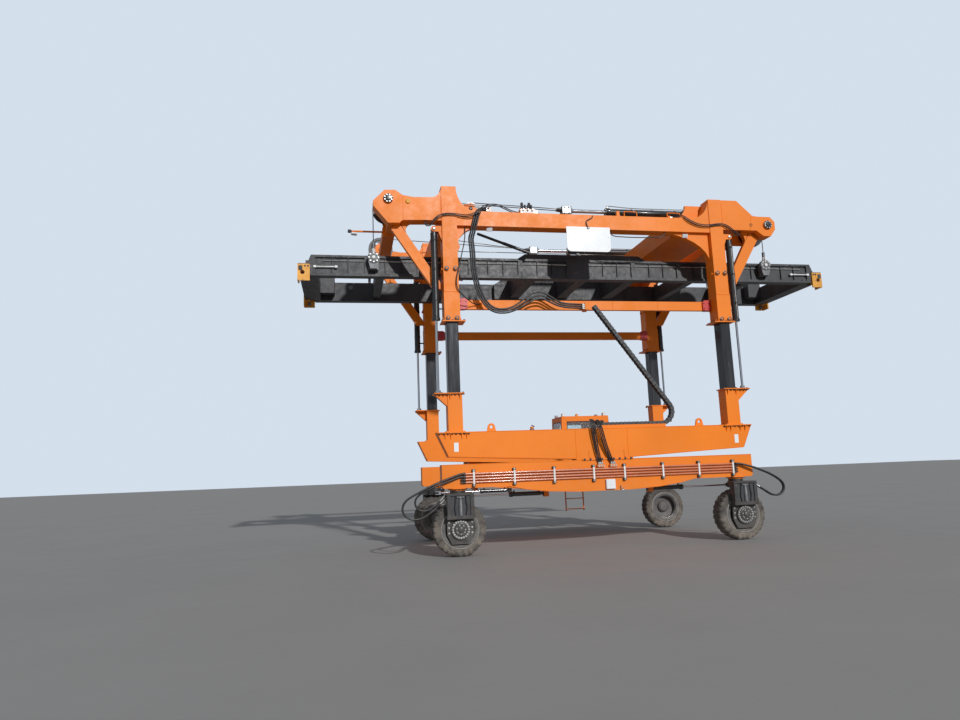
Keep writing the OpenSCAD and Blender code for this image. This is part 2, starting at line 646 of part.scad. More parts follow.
// Spreader: side beams with flanges and web, end beams, cross members with a
// raised middle, corner guides, locks and the blocks that the falls hold
side_x = spreader_l / 2 - 270;
side_out = spreader_w / 2;
module spreader_sides() both_sides() {
    x = side_x;
    difference() {
        xz([[-x, side_z], [x, side_z], [x + 120, side_z + 150], [x, side_top], [-x, side_top], [-x - 120, side_z + 150]],
            -side_out, -side_out + side_d);
        both_ends()
            for (i = [0:4]) let (a = 260 + i * 1120)
                block([a, a + 1020], near(side_out - 40, side_out + 1), [side_z + 60, side_top - 50]);
    }
}
module spreader_ends() both_ends() {
    x = side_x;
    y = side_out - side_d;
    block([x - 130, x + 120], [-y, y], [side_z, side_top - 60]);
    xz([[x + 120, side_z + 20], [x + 240, side_z + 20], [x + 240, side_z + 180], [x + 120, side_z + 320]], -y, y);
}
module spreader_frame() {
    y = side_out - side_d;
    both_ends()
        for (i = [0:1]) let (x = side_x - member_in - i * member_pitch)
            block([x - member_w / 2, x + member_w / 2], [-y, y], [side_z + 60, side_top - 60]);
    // Middle frame: two deep plates with sloped ends, joined by three members
    outline = [[-frame_left, side_z + 40], [frame_right, side_z + 40], [frame_right, side_top - 40],
        [frame_right - 300, frame_top - 20], [frame_right - 350, frame_top], [-frame_left + 350, frame_top],
        [-frame_left, side_top - 40]];
    both_sides() xz(outline, -y, -y + 160);
    for (i = [0:2]) let (x = -frame_left + 500 + i * (frame_left + frame_right - 1000) / 2)
        block([x - 120, x + 120], [-y + 160, y - 160], [side_z + 60, frame_top - 60]);
}
guide_t = 30;
module corner_guides() both_sides() both_ends() {
    x = spreader_l / 2;
    // Corner housing with a sloped mouth that leads onto the box
    difference() {
        block([x - 250, x], near(side_out - side_d, side_out + 35), [side_z - 120, side_z + 240]);
        block([x - 251, x - guide_t], near(side_out - side_d - 1, side_out + 35 - guide_t), [side_z - 121, side_z]);
        block([x - 251, x - 150], near(side_out - side_d - 1, side_out + 1), [side_z - 1, side_z + 241]);
        bar_y(x - 100, -side_out - 36, -side_out + 240, side_z + 60, 36);
    }
}
module twistlocks() both_sides() both_ends()
    translate([spreader_l / 2 - lock_in, -lock_y / 2, 0]) {
        bar_z(0, 0, side_z - 60, side_z - fit, 28);
        translate([0, 0, side_z - 90]) cylinder(h = 40, r1 = 20, r2 = 50);
    }
// Hook block on the outer side of the spreader, with the rope's socket over it
module hook_block(x) {
    translate([x, -fall_y, 0]) {
        difference() {
            union() {
                bar_y(0, -40, 40, side_top - 90, 130);
                xz([[-130, side_top - 90], [-70, side_top - 330], [70, side_top - 330], [130, side_top - 90]], -40, 40);
            }
            bar_y(0, -41, 41, side_top - 90, 40);
        }
        bar_y(0, -60, 60, side_top - 90, 38);
        bar_z(0, 0, side_top + 30, side_top + 230, 34);
        block([-100, 100], [40, fall_y - side_out], [side_top - 330, side_top - 60]);
    }
}
module hook_blocks() both_sides() {
    hook_block(-hub_left_x - sheave_r);
    hook_block(hub_right_x + sheave_r);
}
module falls_left() both_sides()
    bar_z(-hub_left_x - sheave_r, -fall_y, side_top + 230, hub_left_z, rope_r);
module falls_right() both_sides()
    bar_z(hub_right_x + sheave_r, -fall_y, side_top + 230, hub_right_z, rope_r);

// Drag chain: lower run on the box beam, a bend, and a slanted run up to the
// tie bar. Each row is [x, z, angle] of one link
link_l = 92;
link_h = 78;
chain_w = 120;
chain_r = 250;
chain_y = side_y + 50;
chain_start = 60;
chain_bend_x = 1388;
chain_slope = 126;
chain_z = beam_top + 40 + link_h / 2;
chain_top = foot_z + tie_z + 60;
lower_n = floor((chain_bend_x - chain_start) / link_l);
bend_n = round(chain_slope * PI / 180 * chain_r / link_l);
bend_end = [chain_bend_x + chain_r * sin(chain_slope), chain_z + chain_r - chain_r * cos(chain_slope)];
rise_n = floor((chain_top - bend_end[1]) / sin(chain_slope) / link_l);
rise_l = rise_n * link_l + link_l / 2;
links = concat(
    [for (i = [0:lower_n]) [chain_bend_x - i * link_l, chain_z, 0]],
    [for (i = [1:bend_n - 1]) let (a = chain_slope * i / bend_n)
        [chain_bend_x + chain_r * sin(a), chain_z + chain_r - chain_r * cos(a), a]],
    [for (i = [0:rise_n]) [bend_end[0] + i * link_l * cos(chain_slope), bend_end[1] + i * link_l * sin(chain_slope),
        chain_slope]]);
// The chain's line at a distance outside its middle line
function chain_side(d) = concat([[chain_start, chain_z - d]],
    arc(chain_bend_x, chain_z + chain_r, chain_r + d, chain_r + d, -90, chain_slope - 90, 12),
    [[bend_end[0] + d * sin(chain_slope) + rise_l * cos(chain_slope),
      bend_end[1] - d * cos(chain_slope) + rise_l * sin(chain_slope)]]);
module drag_chain() {
    // The joined side bands, and the links' plates over them
    inner_side = chain_side(8 - link_h / 2);
    n = len(inner_side);
    xz(concat(chain_side(link_h / 2 - 8), [for (i = [1:n]) inner_side[n - i]]), -chain_y - chain_w / 2, -chain_y + chain_w / 2);
    for (p = links)
        translate([p[0], -chain_y, p[1]]) rotate([0, -p[2], 0])
            cube([link_l - 30, chain_w + 10, link_h], center = true);
    // Tray under the lower run
    block([chain_start - 40, chain_bend_x + 60], near(chain_y - 75, chain_y + 75), [beam_top, beam_top + 44]);
}

// Far side: brackets, power pack, tank, and a cab with a hinged door
pod_z = 1250;
hood_x = [-2080, -2080 + hood_l];
cab_x = [420, 420 + cab_l];
cab_y = [pod_in, pod_in + cab_w];
module pod_arms() {
    // Arms under the deck, hung from the box beam's outer face
    for (x = [hood_x[0] + 120, hood_x[1] - 320, cab_x[0] + 60, cab_x[1] - 200])
        yz([[beam_out - 10, beam_z + 130], [beam_out + 30, beam_z + 130], [pod_in - 5, beam_z + 60], [pod_in - 5, pod_z - 12],
            [pod_in + 640, pod_z - 12], [pod_in + 640, pod_z - 60], [pod_in - 30, pod_z - 150],
            [pod_in - 30, beam_z - 20], [beam_out - 10, beam_z + 10]], x, x + 90);
    block([hood_x[0], cab_x[1]], [pod_in, pod_in + 700], [pod_z - 30, pod_z]);
}
module hood() {
    y = [pod_in, pod_in + hood_d];
    z = [pod_z, pod_z + hood_h];
    difference() {
        yz([[y[0], z[0]], [y[1], z[0]], [y[1], z[1] - 120], [y[1] - 120, z[1]], [y[0], z[1]]], hood_x[0], hood_x[1]);
        block([hood_x[0] + 30, hood_x[1] - 30], [y[0] + 30, y[1] - 30], [z[0] - 1, z[1] - 130]);
        // Louvres in the long side and in the end
        for (i = [0:8])
            block([hood_x[0] + 150, hood_x[0] + 850], [y[1] - 31, y[1] + 1], [z[0] + 220 + i * 60, z[0] + 250 + i * 60]);
        for (i = [0:8])
            block([hood_x[0] - 1, hood_x[0] + 31], [y[0] + 120, y[1] - 120], [z[0] + 220 + i * 60, z[0] + 250 + i * 60]);
    }
    bar_z(hood_x[1] - 250, y[0] + 130, z[1], z[1] + 420, 45);
}
module engine()
    block([hood_x[0] + 500, hood_x[0] + 1500], [pod_in + 100, pod_in + 650], [pod_z, pod_z + 780]);
module tank()
    block([hood_x[1] + 40, cab_x[0] - 60], [pod_in, pod_in + 530], [pod_z, pod_z + 760]);
window_z = [820, 1580];
module cab_shell() {
    x = cab_x;
    y = cab_y;
    z = [pod_z, pod_z + cab_h];
    difference() {
        xz([[x[0] + 60, z[0]], [x[1] - 60, z[0]], [x[1], z[0] + 300], [x[1] - 40, z[1]], [x[0] + 40, z[1]], [x[0], z[0] + 300]],
            y[0], y[1]);
        xz([[x[0] + 60 + cab_t, z[0] + cab_t], [x[1] - 60 - cab_t, z[0] + cab_t], [x[1] - cab_t, z[0] + 310],
            [x[1] - 40 - cab_t, z[1] - cab_t], [x[0] + 40 + cab_t, z[1] - cab_t], [x[0] + cab_t, z[0] + 310]],
            y[0] + cab_t, y[1] - cab_t);
        // Front, rear, lane side and door openings
        block([x[0] - 1, x[1] + 1], [y[0] + 90, y[1] - 90], [z[0] + 520, z[0] + window_z[1]]);
        block([x[0] + 180, x[1] - 180], [y[0] - 1, y[0] + cab_t + 1], [z[0] + window_z[0], z[0] + window_z[1]]);
        block(door_x, [y[1] - cab_t - 1, y[1] + 1], [z[0] + 90, z[0] + window_z[1] + 30]);
    }
}
door_x = [cab_x[0] + 200, cab_x[0] + 960];
module cab_interior() {
    x = (cab_x[0] + cab_x[1]) / 2;
    y = (cab_y[0] + cab_y[1]) / 2;
    z = pod_z + cab_t;
    block([x - 180, x + 120], [y - 150, y + 150], [z, z + 300]);
    block([x - 250, x + 250], [y - 240, y + 240], [z + 300, z + 430]);
    xz([[x - 250, z + 430], [x - 140, z + 430], [x - 230, z + 1050], [x - 320, z + 1050]], y - 220, y + 220);
    xz([[x + 380, z], [x + 520, z], [x + 480, z + 720], [x + 420, z + 720]], y - 250, y + 250);
}
module cab_door() {
    x = door_x;
    y = cab_out + fit;
    z = [pod_z + 70, pod_z + window_z[1] + 50];
    difference() {
        block([x[0] - 20, x[1] + 20], [y, y + door_t], z);
        block([x[0] + 60, x[1] - 60], [y - 1, y + door_t + 1], [pod_z + window_z[0], z[1] - 80]);
    }
    block([x[1] - 60, x[1] - 30], [y + door_t, y + door_t + 25], [pod_z + 620, pod_z + 760]);
    for (zz = [z[0] + 150, z[1] - 250]) bar_z(x[0] - 20, y + door_t - 4, zz, zz + 100, 14);
}

at_lane() color(orange) box_beam_side();  // box_beam_near
at_lane() color(orange) rocker_side();  // rocker_near
at_lane() color(dark) inner_legs_side();  // inner_legs_near
at_lane() color(chrome) lift_rods_side();  // lift_rods_near
at_lane() color(dark) steer_barrels_side();  // steer_barrels_near
at_lane() color(orange) { far() box_beam_side(); pod_arms(); }  // box_beam_far
at_lane() color(orange) far() rocker_side();  // rocker_far
at_lane() color(dark) far() inner_legs_side();  // inner_legs_far
at_lane() color(chrome) far() lift_rods_side();  // lift_rods_far
at_lane() color(dark) far() steer_barrels_side();  // steer_barrels_far
at_lane() color(orange) hood();  // power_pack_hood
at_lane() color(grey) engine();  // engine_block
at_lane() color(dark) tank();  // fluid_tank
at_lane() color(orange) cab_shell();
at_lane() color(dark) cab_interior();
at_lane() color(orange) cab_door();
at_lane() color(orange) columns_side();  // columns_near
at_lane() color(orange) far() columns_side();  // columns_far
at_lane() color(orange) upper_beams();
at_lane() color(orange) tie_bars();
at_lane() color(orange) corner_brackets();
at_lane() color(dark) sheaves();
at_lane() color(orange) cross_beams();
at_lane() color(dark) hoist_barrels();
at_lane() color(dark) lift_barrels();
at_lane() color("white") sign_plate();
at_lane() color(chrome) hoist_rods();
at_lane() color(dark) spreader_sides();
at_lane() color(dark) spreader_ends();
at_lane() color(dark) spreader_frame();
at_lane() color(orange) corner_guides();
at_lane() color(grey) twistlocks();
at_lane() color(grey) hook_blocks();
at_lane() color(grey) falls_left();
at_lane() color(grey) falls_right();
at_lane() color(dark) drag_chain();
at_lane() color(dark) knuckle(-1, -1);  // knuckle_nl
at_lane() color(dark) knuckle(1, -1);  // knuckle_nr
at_lane() color(dark) knuckle(-1, 1);  // knuckle_fl
at_lane() color(dark) knuckle(1, 1);  // knuckle_fr
at_lane() color("#1c1c1c") tyre(-1, -1);  // tyre_nl
at_lane() color("#1c1c1c") tyre(1, -1);  // tyre_nr
at_lane() color("#1c1c1c") tyre(-1, 1);  // tyre_fl
at_lane() color("#1c1c1c") tyre(1, 1);  // tyre_fr
at_lane() color(grey) rim(-1, -1);  // rim_nl
at_lane() color(grey) rim(1, -1);  // rim_nr
at_lane() color(grey) rim(-1, 1);  // rim_fl
at_lane() color(grey) rim(1, 1);  // rim_fr
at_lane() color(chrome) steer_rod(-1, -1);  // steer_rod_nl
at_lane() color(chrome) steer_rod(1, -1);  // steer_rod_nr
at_lane() color(chrome) steer_rod(-1, 1);  // steer_rod_fl
at_lane() color(chrome) steer_rod(1, 1);  // steer_rod_fr
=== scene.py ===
# %% [markdown]
# # A straddle carrier, dressed
# A straddle carrier drives over a stack of containers and lifts the top one with a spreader.
# The solids come packed from the part's source. This lesson gives them their finishes and adds
# what is too fine for the source: bolts, hoses, ropes, clamps, tread, lamps and glass.
# Everything is in metres: X runs along the machine, Y across it, Z up.

import bpy
import numpy as np
from mathutils import Matrix


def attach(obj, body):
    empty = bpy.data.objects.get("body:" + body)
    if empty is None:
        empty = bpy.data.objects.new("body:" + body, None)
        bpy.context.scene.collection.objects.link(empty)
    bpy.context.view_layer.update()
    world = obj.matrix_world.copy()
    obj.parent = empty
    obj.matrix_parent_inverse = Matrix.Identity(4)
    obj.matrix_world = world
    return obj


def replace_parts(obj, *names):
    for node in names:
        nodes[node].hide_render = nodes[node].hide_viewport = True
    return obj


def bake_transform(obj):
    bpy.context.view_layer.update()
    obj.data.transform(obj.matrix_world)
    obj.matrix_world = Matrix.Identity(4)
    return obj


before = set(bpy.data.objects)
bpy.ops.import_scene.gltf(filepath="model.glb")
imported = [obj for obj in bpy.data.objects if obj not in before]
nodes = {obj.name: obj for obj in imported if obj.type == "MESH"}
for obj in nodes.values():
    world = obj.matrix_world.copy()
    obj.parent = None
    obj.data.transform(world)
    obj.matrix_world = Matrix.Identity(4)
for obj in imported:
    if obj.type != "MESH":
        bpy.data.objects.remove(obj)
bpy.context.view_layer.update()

# %% [markdown]
# ## The sizes that everything hangs on
# The levels and planes below repeat the source's sizes, so that a bolt or a hose can be placed
# by the same words. Distances across are from the middle of the lane.

# %% Levels, stations and planes
LANE_Y = -0.43515
WHEEL_X, HUB_Z, TYRE_R, TYRE_W = 3.0, 0.525, 0.525, 0.35
YOKE_Z, BEAM_TOP, STUB_TOP, FOOT_Z = 1.085, 2.40, 3.18, 4.63
FLANGE_T, SHELF_T = 0.022, 0.026
COL_X, SLEEVE_W = 3.015, 0.31
UPPER_Z, UPPER_TOP, SLEEVE_TOP = 6.68, 7.0, 7.45
SIDE_Z, SIDE_TOP = 5.79, 6.24
HUB_LEFT, HUB_RIGHT = (-4.267, 7.207), (4.286, 6.895)
SIDE_Y, BEAM_OUT, SLEEVE_OUT, BRACKET_OUT = 1.85, 2.01, 2.015, 1.995
PLATE_OUT, BOX_OUT = 2.09, 2.19
FALL_Y, HOIST_Y, HOIST_Z = 1.32, 1.42, 7.30
ROPE_R, SHEAVE_R = 0.010, 0.285
NEAR, FAR = -1, 1


def y_at(side, d):
    """Y of the plane at the distance d from the lane's middle, on that side."""
    return LANE_Y + side * d


print("near outer face at Y", round(y_at(NEAR, BEAM_OUT), 3))

# %% [markdown]
# ## The camera
# The camera stands where the photograph was taken: low, a little left of the machine, with a
# wide lens that looks slightly up. Its turn is built from the direction of view and a small roll.

# %% Place the camera
YAW, PITCH, ROLL = 0.191764, 0.157930, -0.038197
EYE = (-5.144, LANE_Y - 15.732, 1.610)
forward = np.array([np.sin(YAW) * np.cos(PITCH), np.cos(YAW) * np.cos(PITCH), np.sin(PITCH)])
right = np.array([np.cos(YAW), -np.sin(YAW), 0.0])
up = np.cross(right, forward)
rolled_right = right * np.cos(ROLL) + up * np.sin(ROLL)
rolled_up = -right * np.sin(ROLL) + up * np.cos(ROLL)
camera = bpy.data.objects.new("camera", bpy.data.cameras.new("camera"))
bpy.context.scene.collection.objects.link(camera)
camera.matrix_world = Matrix([[rolled_right[i], rolled_up[i], -forward[i], EYE[i]] for i in range(3)]
                             + [[0, 0, 0, 1]])
camera.data.sensor_width, camera.data.lens = 36.0, 26.25
camera.data.clip_end = 500
bpy.context.scene.camera = camera
bpy.context.scene.view_settings.view_transform = "Standard"

# %% [markdown]
# ## Light and floor
# A sun from the upper right behind the camera gives the machine the photograph's light side and
# shadow side. A dim bluish world fills the shadows, and the camera sees a paler backdrop. The
# floor is a plain grey sheet.

# %% Sun, world and floor
sun = bpy.data.objects.new("sun", bpy.data.lights.new("sun", "SUN"))
sun.data.energy, sun.data.angle = 2.5, 0.03
to_sun = np.array([0.22, -0.88, 0.42])
back = to_sun / np.linalg.norm(to_sun)
across = np.cross([0, 0, 1], back)
across /= np.linalg.norm(across)
turn = np.stack([across, np.cross(back, across), back], axis=1)
sun.matrix_world = Matrix([[*r, 0] for r in turn] + [[0, 0, 0, 1]])
bpy.context.scene.collection.objects.link(sun)

world = bpy.data.worlds.new("studio")
bpy.context.scene.world = world
world.use_nodes = True
sky = world.node_tree.nodes
links = world.node_tree.links
fill = sky["Background"]
fill.inputs["Color"].default_value = (0.80, 0.88, 1.0, 1)
fill.inputs["Strength"].default_value = 0.36
backdrop = sky.new("ShaderNodeBackground")
backdrop.inputs["Color"].default_value = (0.66, 0.74, 0.84, 1)
backdrop.inputs["Strength"].default_value = 1.0
rays = sky.new("ShaderNodeLightPath")
seen = sky.new("ShaderNodeMath")
seen.operation = "MAXIMUM"
mix = sky.new("ShaderNodeMixShader")
links.new(rays.outputs["Is Camera Ray"], seen.inputs[0])
links.new(rays.outputs["Is Transmission Ray"], seen.inputs[1])
links.new(seen.outputs[0], mix.inputs[0])
links.new(fill.outputs[0], mix.inputs[1])
links.new(backdrop.outputs[0], mix.inputs[2])
links.new(mix.outputs[0], sky["World Output"].inputs[0])

floor_mesh = bpy.data.meshes.new("floor")
floor_mesh.from_pydata([(-150, -150, 0), (150, -150, 0), (150, 150, 0), (-150, 150, 0)], [],
                       [(0, 1, 2, 3)])
floor = bpy.data.objects.new("floor", floor_mesh)
bpy.context.scene.collection.objects.link(floor)

# %% [markdown]
# ## One recipe for paint, and what it is asked for
# Nearly every surface here is paint on steel. Real paint is never one colour: it fades in
# clouds, carries dust on what faces up, mud near the ground, and chips down to primer.
# One recipe builds those layers from noise on object coordinates, and each finish gives its
# own strengths.


# %% The nodes that a layer needs
def noise(tree, source, size, detail=5.0, rough=0.6):
    """Noise from 0 to 1 in clouds of about the given size in metres."""
    node = tree.nodes.new("ShaderNodeTexNoise")
    for key, value in (("Scale", 1.0 / size), ("Detail", detail), ("Roughness", rough)):
        node.inputs[key].default_value = value
    tree.links.new(source, node.inputs["Vector"])
    return node.outputs["Fac"]


def remap(tree, value, lo, hi, to_lo=0.0, to_hi=1.0):
    """A value's range from lo to hi stretched to another range, and held at its ends."""
    node = tree.nodes.new("ShaderNodeMapRange")
    for key, end in (("From Min", lo), ("From Max", hi), ("To Min", to_lo), ("To Max", to_hi)):
        node.inputs[key].default_value = end
    tree.links.new(value, node.inputs["Value"])
    return node.outputs["Result"]


def times(tree, a, b):
    """The product of a value with another value or with a number."""
    node = tree.nodes.new("ShaderNodeMath")
    node.operation = "MULTIPLY"
    tree.links.new(a, node.inputs[0])
    if isinstance(b, float):
        node.inputs[1].default_value = b
    else:
        tree.links.new(b, node.inputs[1])
    return node.outputs[0]


def over(tree, base, colour, factor):
    """A colour laid over a base, which is a colour or the layers so far, by a factor."""
    node = tree.nodes.new("ShaderNodeMix")
    node.data_type = "RGBA"
    tree.links.new(factor, node.inputs["Factor"])
    if isinstance(base, tuple):
        node.inputs["A"].default_value = (*base, 1)
    else:
        tree.links.new(base, node.inputs["A"])
    node.inputs["B"].default_value = (*colour, 1)
    return node.outputs["Result"]


# %% The layered finish
DUST_COLOUR, MUD_COLOUR = (0.42, 0.36, 0.29), (0.30, 0.25, 0.20)


def finish(name, colour, rough, metal=0.0, coat=0.0, cloud=0.12, cloud_size=1.4, dust=0.25,
           mud=0.0, mud_top=1.2, chips=0.0, chip_colour=(0.10, 0.06, 0.04), chip_size=0.09,
           grain=0.15, grain_size=0.012, streak=1.0):
    """A Principled surface under layers of clouds, chips, dust and mud, with a fine bump.

    Each layer is noise on object coordinates put through a threshold, then mixed over the last.
    """
    material = bpy.data.materials.new(name)
    material.use_nodes = True
    tree = material.node_tree
    new, link, shader = tree.nodes.new, tree.links.new, tree.nodes["Principled BSDF"]
    shader.inputs["Metallic"].default_value = metal
    shader.inputs["Coat Weight"].default_value = coat
    shader.inputs["Coat Roughness"].default_value = 0.12
    where = new("ShaderNodeTexCoord")
    stretch = new("ShaderNodeMapping")
    stretch.inputs["Scale"].default_value = (1, 1, streak)
    link(where.outputs["Object"], stretch.inputs["Vector"])
    source = stretch.outputs["Vector"]

    light = tuple(min(1.0, c * (1 + cloud) + 0.03 * cloud) for c in colour)
    dark = tuple(c * (1 - cloud) for c in colour)
    tone = over(tree, dark, light, remap(tree, noise(tree, source, cloud_size), 0.3, 0.7))
    wear = remap(tree, noise(tree, source, cloud_size * 0.23, 8.0, 0.7), 0.35, 0.75)
    if chips:
        edge = 0.70 - chips * 0.12
        spots = remap(tree, noise(tree, source, chip_size, 9.0, 0.72), edge, edge + 0.02)
        tone = over(tree, tone, chip_colour, spots)
    if dust:
        normal = new("ShaderNodeSeparateXYZ")
        link(new("ShaderNodeNewGeometry").outputs["Normal"], normal.inputs[0])
        facing_up = remap(tree, normal.outputs["Z"], 0.3, 0.95)
        on_top = times(tree, facing_up, remap(tree, noise(tree, source, 0.35, 7.0), 0.3, 0.75))
        tone = over(tree, tone, DUST_COLOUR, times(tree, on_top, float(dust)))
    if mud:
        place = new("ShaderNodeSeparateXYZ")
        link(where.outputs["Object"], place.inputs[0])
        near_ground = remap(tree, place.outputs["Z"], mud_top, 0.0)
        low = times(tree, near_ground, remap(tree, noise(tree, source, 0.16, 8.0, 0.7), 0.32, 0.62))
        tone = over(tree, tone, MUD_COLOUR, times(tree, low, float(mud)))
    link(tone, shader.inputs["Base Color"])
    roughness = remap(tree, wear, 0, 1, rough * 0.85, min(1.0, rough * 1.35 + 0.04))
    link(roughness, shader.inputs["Roughness"])
    bump = new("ShaderNodeBump")
    bump.inputs["Strength"].default_value = grain
    bump.inputs["Distance"].default_value = 0.004
    link(noise(tree, source, grain_size, 3.0), bump.inputs["Height"])
    link(bump.outputs["Normal"], shader.inputs["Normal"])
    return material


# %% [markdown]
# ## The finishes
# The frame's orange is bright and glossy with faint fading. The spreader's black has been
# dragged over boxes for years: dusty, scuffed and rusted through in spots. The legs slide in
# the sleeves, so they are black steel polished by grease.

# %% Paints and metals
ORANGE = finish("machine_orange", (0.88, 0.215, 0.005), 0.42, coat=0.06, cloud=0.07, dust=0.30,
                chips=0.18, chip_colour=(0.42, 0.10, 0.02), mud=0.22, mud_top=2.2, grain=0.05)
ORANGE.node_tree.nodes["Principled BSDF"].inputs["Specular IOR Level"].default_value = 0.28
CORNER = finish("corner_ochre", (0.80, 0.36, 0.035), 0.45, cloud=0.22, cloud_size=0.3, dust=0.5,
                chips=0.9, chip_colour=(0.16, 0.08, 0.03))
LEG = finish("leg_steel", (0.060, 0.062, 0.066), 0.16, metal=0.65, cloud=0.35, cloud_size=0.16,
             dust=0.1, streak=0.08, chips=0.25, chip_colour=(0.32, 0.32, 0.33))
BLACK = finish("black_paint", (0.016, 0.017, 0.018), 0.26, coat=0.4, cloud=0.3, dust=0.22)
WORN = finish("worn_black", (0.030, 0.031, 0.034), 0.46, cloud=0.38, cloud_size=0.45, dust=0.30,
              chips=0.6, chip_colour=(0.13, 0.10, 0.085), chip_size=0.14, grain=0.25)
KNUCKLE = finish("knuckle_black", (0.022, 0.022, 0.023), 0.40, cloud=0.4, cloud_size=0.2, dust=0.4,
                 mud=0.32, mud_top=1.5, chips=0.5, chip_colour=(0.14, 0.09, 0.06))
CHROME = finish("chrome_rod", (0.74, 0.75, 0.77), 0.10, metal=1.0, cloud=0.05, dust=0.0, grain=0.02)
CAST = finish("cast_grey", (0.15, 0.155, 0.16), 0.48, metal=0.35, cloud=0.22, cloud_size=0.12,
              dust=0.2, chips=0.35, chip_colour=(0.15, 0.11, 0.09), grain=0.5)
ZINC = finish("bolt_zinc", (0.50, 0.50, 0.48), 0.36, metal=0.85, cloud=0.25, cloud_size=0.05, dust=0.1)
DARK_BOLT = finish("bolt_dark", (0.07, 0.065, 0.06), 0.42, metal=0.6, cloud=0.3, cloud_size=0.05,
                   dust=0.2)
ROPE = finish("wire_rope", (0.17, 0.165, 0.155), 0.42, metal=0.8, cloud=0.3, cloud_size=0.04,
              dust=0.0, grain=0.4)
RIM = finish("rim_paint", (0.075, 0.075, 0.078), 0.5, cloud=0.3, cloud_size=0.15, dust=0.3,
             mud=0.45, mud_top=1.3, chips=0.2)
RIM_EDGE = finish("rim_edge", (0.25, 0.24, 0.225), 0.6, cloud=0.3, cloud_size=0.08, dust=0.5,
                  mud=0.4, mud_top=1.3)
WHITE = finish("sign_white", (0.80, 0.81, 0.82), 0.34, coat=0.2, cloud=0.03, dust=0.1)
RED = finish("block_red", (0.55, 0.025, 0.020), 0.35, coat=0.2, cloud=0.1, chips=0.2)
ENGINE = finish("engine_grey", (0.28, 0.28, 0.29), 0.5, cloud=0.3, cloud_size=0.2, dust=0.4, grain=0.4)

# %% Rubber, plastics, lamps, glass and the floor
TYRE = finish("tyre", (0.035, 0.034, 0.033), 0.80, cloud=0.3, cloud_size=0.12, dust=0.3,
              mud=0.85, mud_top=1.35, grain=0.5, grain_size=0.02)
CHAIN = finish("chain_plastic", (0.045, 0.045, 0.048), 0.5, cloud=0.3, cloud_size=0.2, dust=0.75,
               chips=0.3, chip_colour=(0.16, 0.15, 0.14))
TRIM = finish("cab_trim", (0.045, 0.045, 0.048), 0.6, cloud=0.15, cloud_size=0.2, dust=0.15, grain=0.5,
              grain_size=0.004)
HOSE = finish("hose_rubber", (0.020, 0.020, 0.021), 0.38, cloud=0.3, cloud_size=0.1, dust=0.3)
PIPE = finish("pipe_paint", (0.62, 0.20, 0.09), 0.22, coat=0.5, cloud=0.15, cloud_size=0.2, dust=0.2)
STRAP = finish("strap_pale", (0.78, 0.77, 0.74), 0.45, cloud=0.15, cloud_size=0.1, dust=0.1)
CUSHION = finish("seat_vinyl", (0.030, 0.030, 0.034), 0.55, cloud=0.2, cloud_size=0.1, dust=0.15,
                 grain=0.6, grain_size=0.003)
AMBER = finish("beacon_amber", (0.90, 0.30, 0.02), 0.15, coat=0.6, cloud=0.05, dust=0.1)
LENS = finish("lamp_lens", (0.72, 0.76, 0.80), 0.08, coat=0.8, cloud=0.03, dust=0.05, grain=0.0)
GLASS = finish("cab_glass", (0.80, 0.90, 0.90), 0.04, cloud=0.02, dust=0.0, grain=0.0)
GLASS.node_tree.nodes["Principled BSDF"].inputs["Transmission Weight"].default_value = 0.92
FLOOR = finish("floor_grey", (0.30, 0.29, 0.275), 0.85, cloud=0.03, cloud_size=3.0, dust=0.0, grain=0.1)
floor_mesh.materials.append(FLOOR)

# %% Give the carried-over nodes their finishes
for finish_used, names in (
    (ORANGE, "box_beam_near box_beam_far rocker_near rocker_far columns_near columns_far cab_shell "
             "upper_beams tie_bars corner_brackets cross_beams power_pack_hood cab_door"),
    (LEG, "inner_legs_near inner_legs_far"),
    (BLACK, "steer_barrels_near steer_barrels_far sheaves hoist_barrels lift_barrels fluid_tank"),
    (CHROME, "lift_rods_near lift_rods_far hoist_rods "
             "steer_rod_nl steer_rod_nr steer_rod_fl steer_rod_fr"),
    (WORN, "spreader_sides spreader_ends spreader_frame"),
    (CORNER, "corner_guides"),
    (CAST, "twistlocks hook_blocks"),
    (ROPE, "falls_left falls_right"),
    (CHAIN, "drag_chain"),
    (KNUCKLE, "knuckle_nl knuckle_nr knuckle_fl knuckle_fr"),
    (TYRE, "tyre_nl tyre_nr tyre_fl tyre_fr"),
    (RIM, "rim_nl rim_nr rim_fl rim_fr"),
    (WHITE, "sign_plate"),
    (ENGINE, "engine_block"),
    (TRIM, "cab_interior"),
):
    for name in names.split():
        for holder in nodes[name].material_slots:
            holder.material = finish_used
        if not nodes[name].material_slots:
            nodes[name].data.materials.append(finish_used)


# %% [markdown]
# ## Shapes as whole arrays
# A shape here is a pair: an array of points and a list of arrays of faces, each array holding
# faces of one size. Shapes are worked out on grids of two parameters, so a bolt, a hose or a
# tyre is a formula and not a list of typed points, and a hundred bolts are one addition.

# %% Grids and closed skins
def grid_faces(rings, sides, closed=False):
    """Quads between rings that close on themselves; with closed the last ring joins the first."""
    i = np.arange(rings if closed else rings - 1)[:, None]
    j = np.arange(sides)[None, :]
    i1, j1 = (i + 1) % rings, (j + 1) % sides
    return np.stack(np.broadcast_arrays(i * sides + j, i * sides + j1, i1 * sides + j1, i1 * sides + j),
                    -1).reshape(-1, 4)


def outward(points, faces):
    """Turns the faces round where the signed volume, a sum over their corners, is negative."""
    volume = 0.0
    for f in faces:
        p = points[f]
        for k in range(1, f.shape[1] - 1):
            volume += np.einsum("ij,ij->", p[:, 0], np.cross(p[:, k], p[:, k + 1]))
    return points, [np.ascontiguousarray(f[:, ::-1]) for f in faces] if volume < 0 else faces


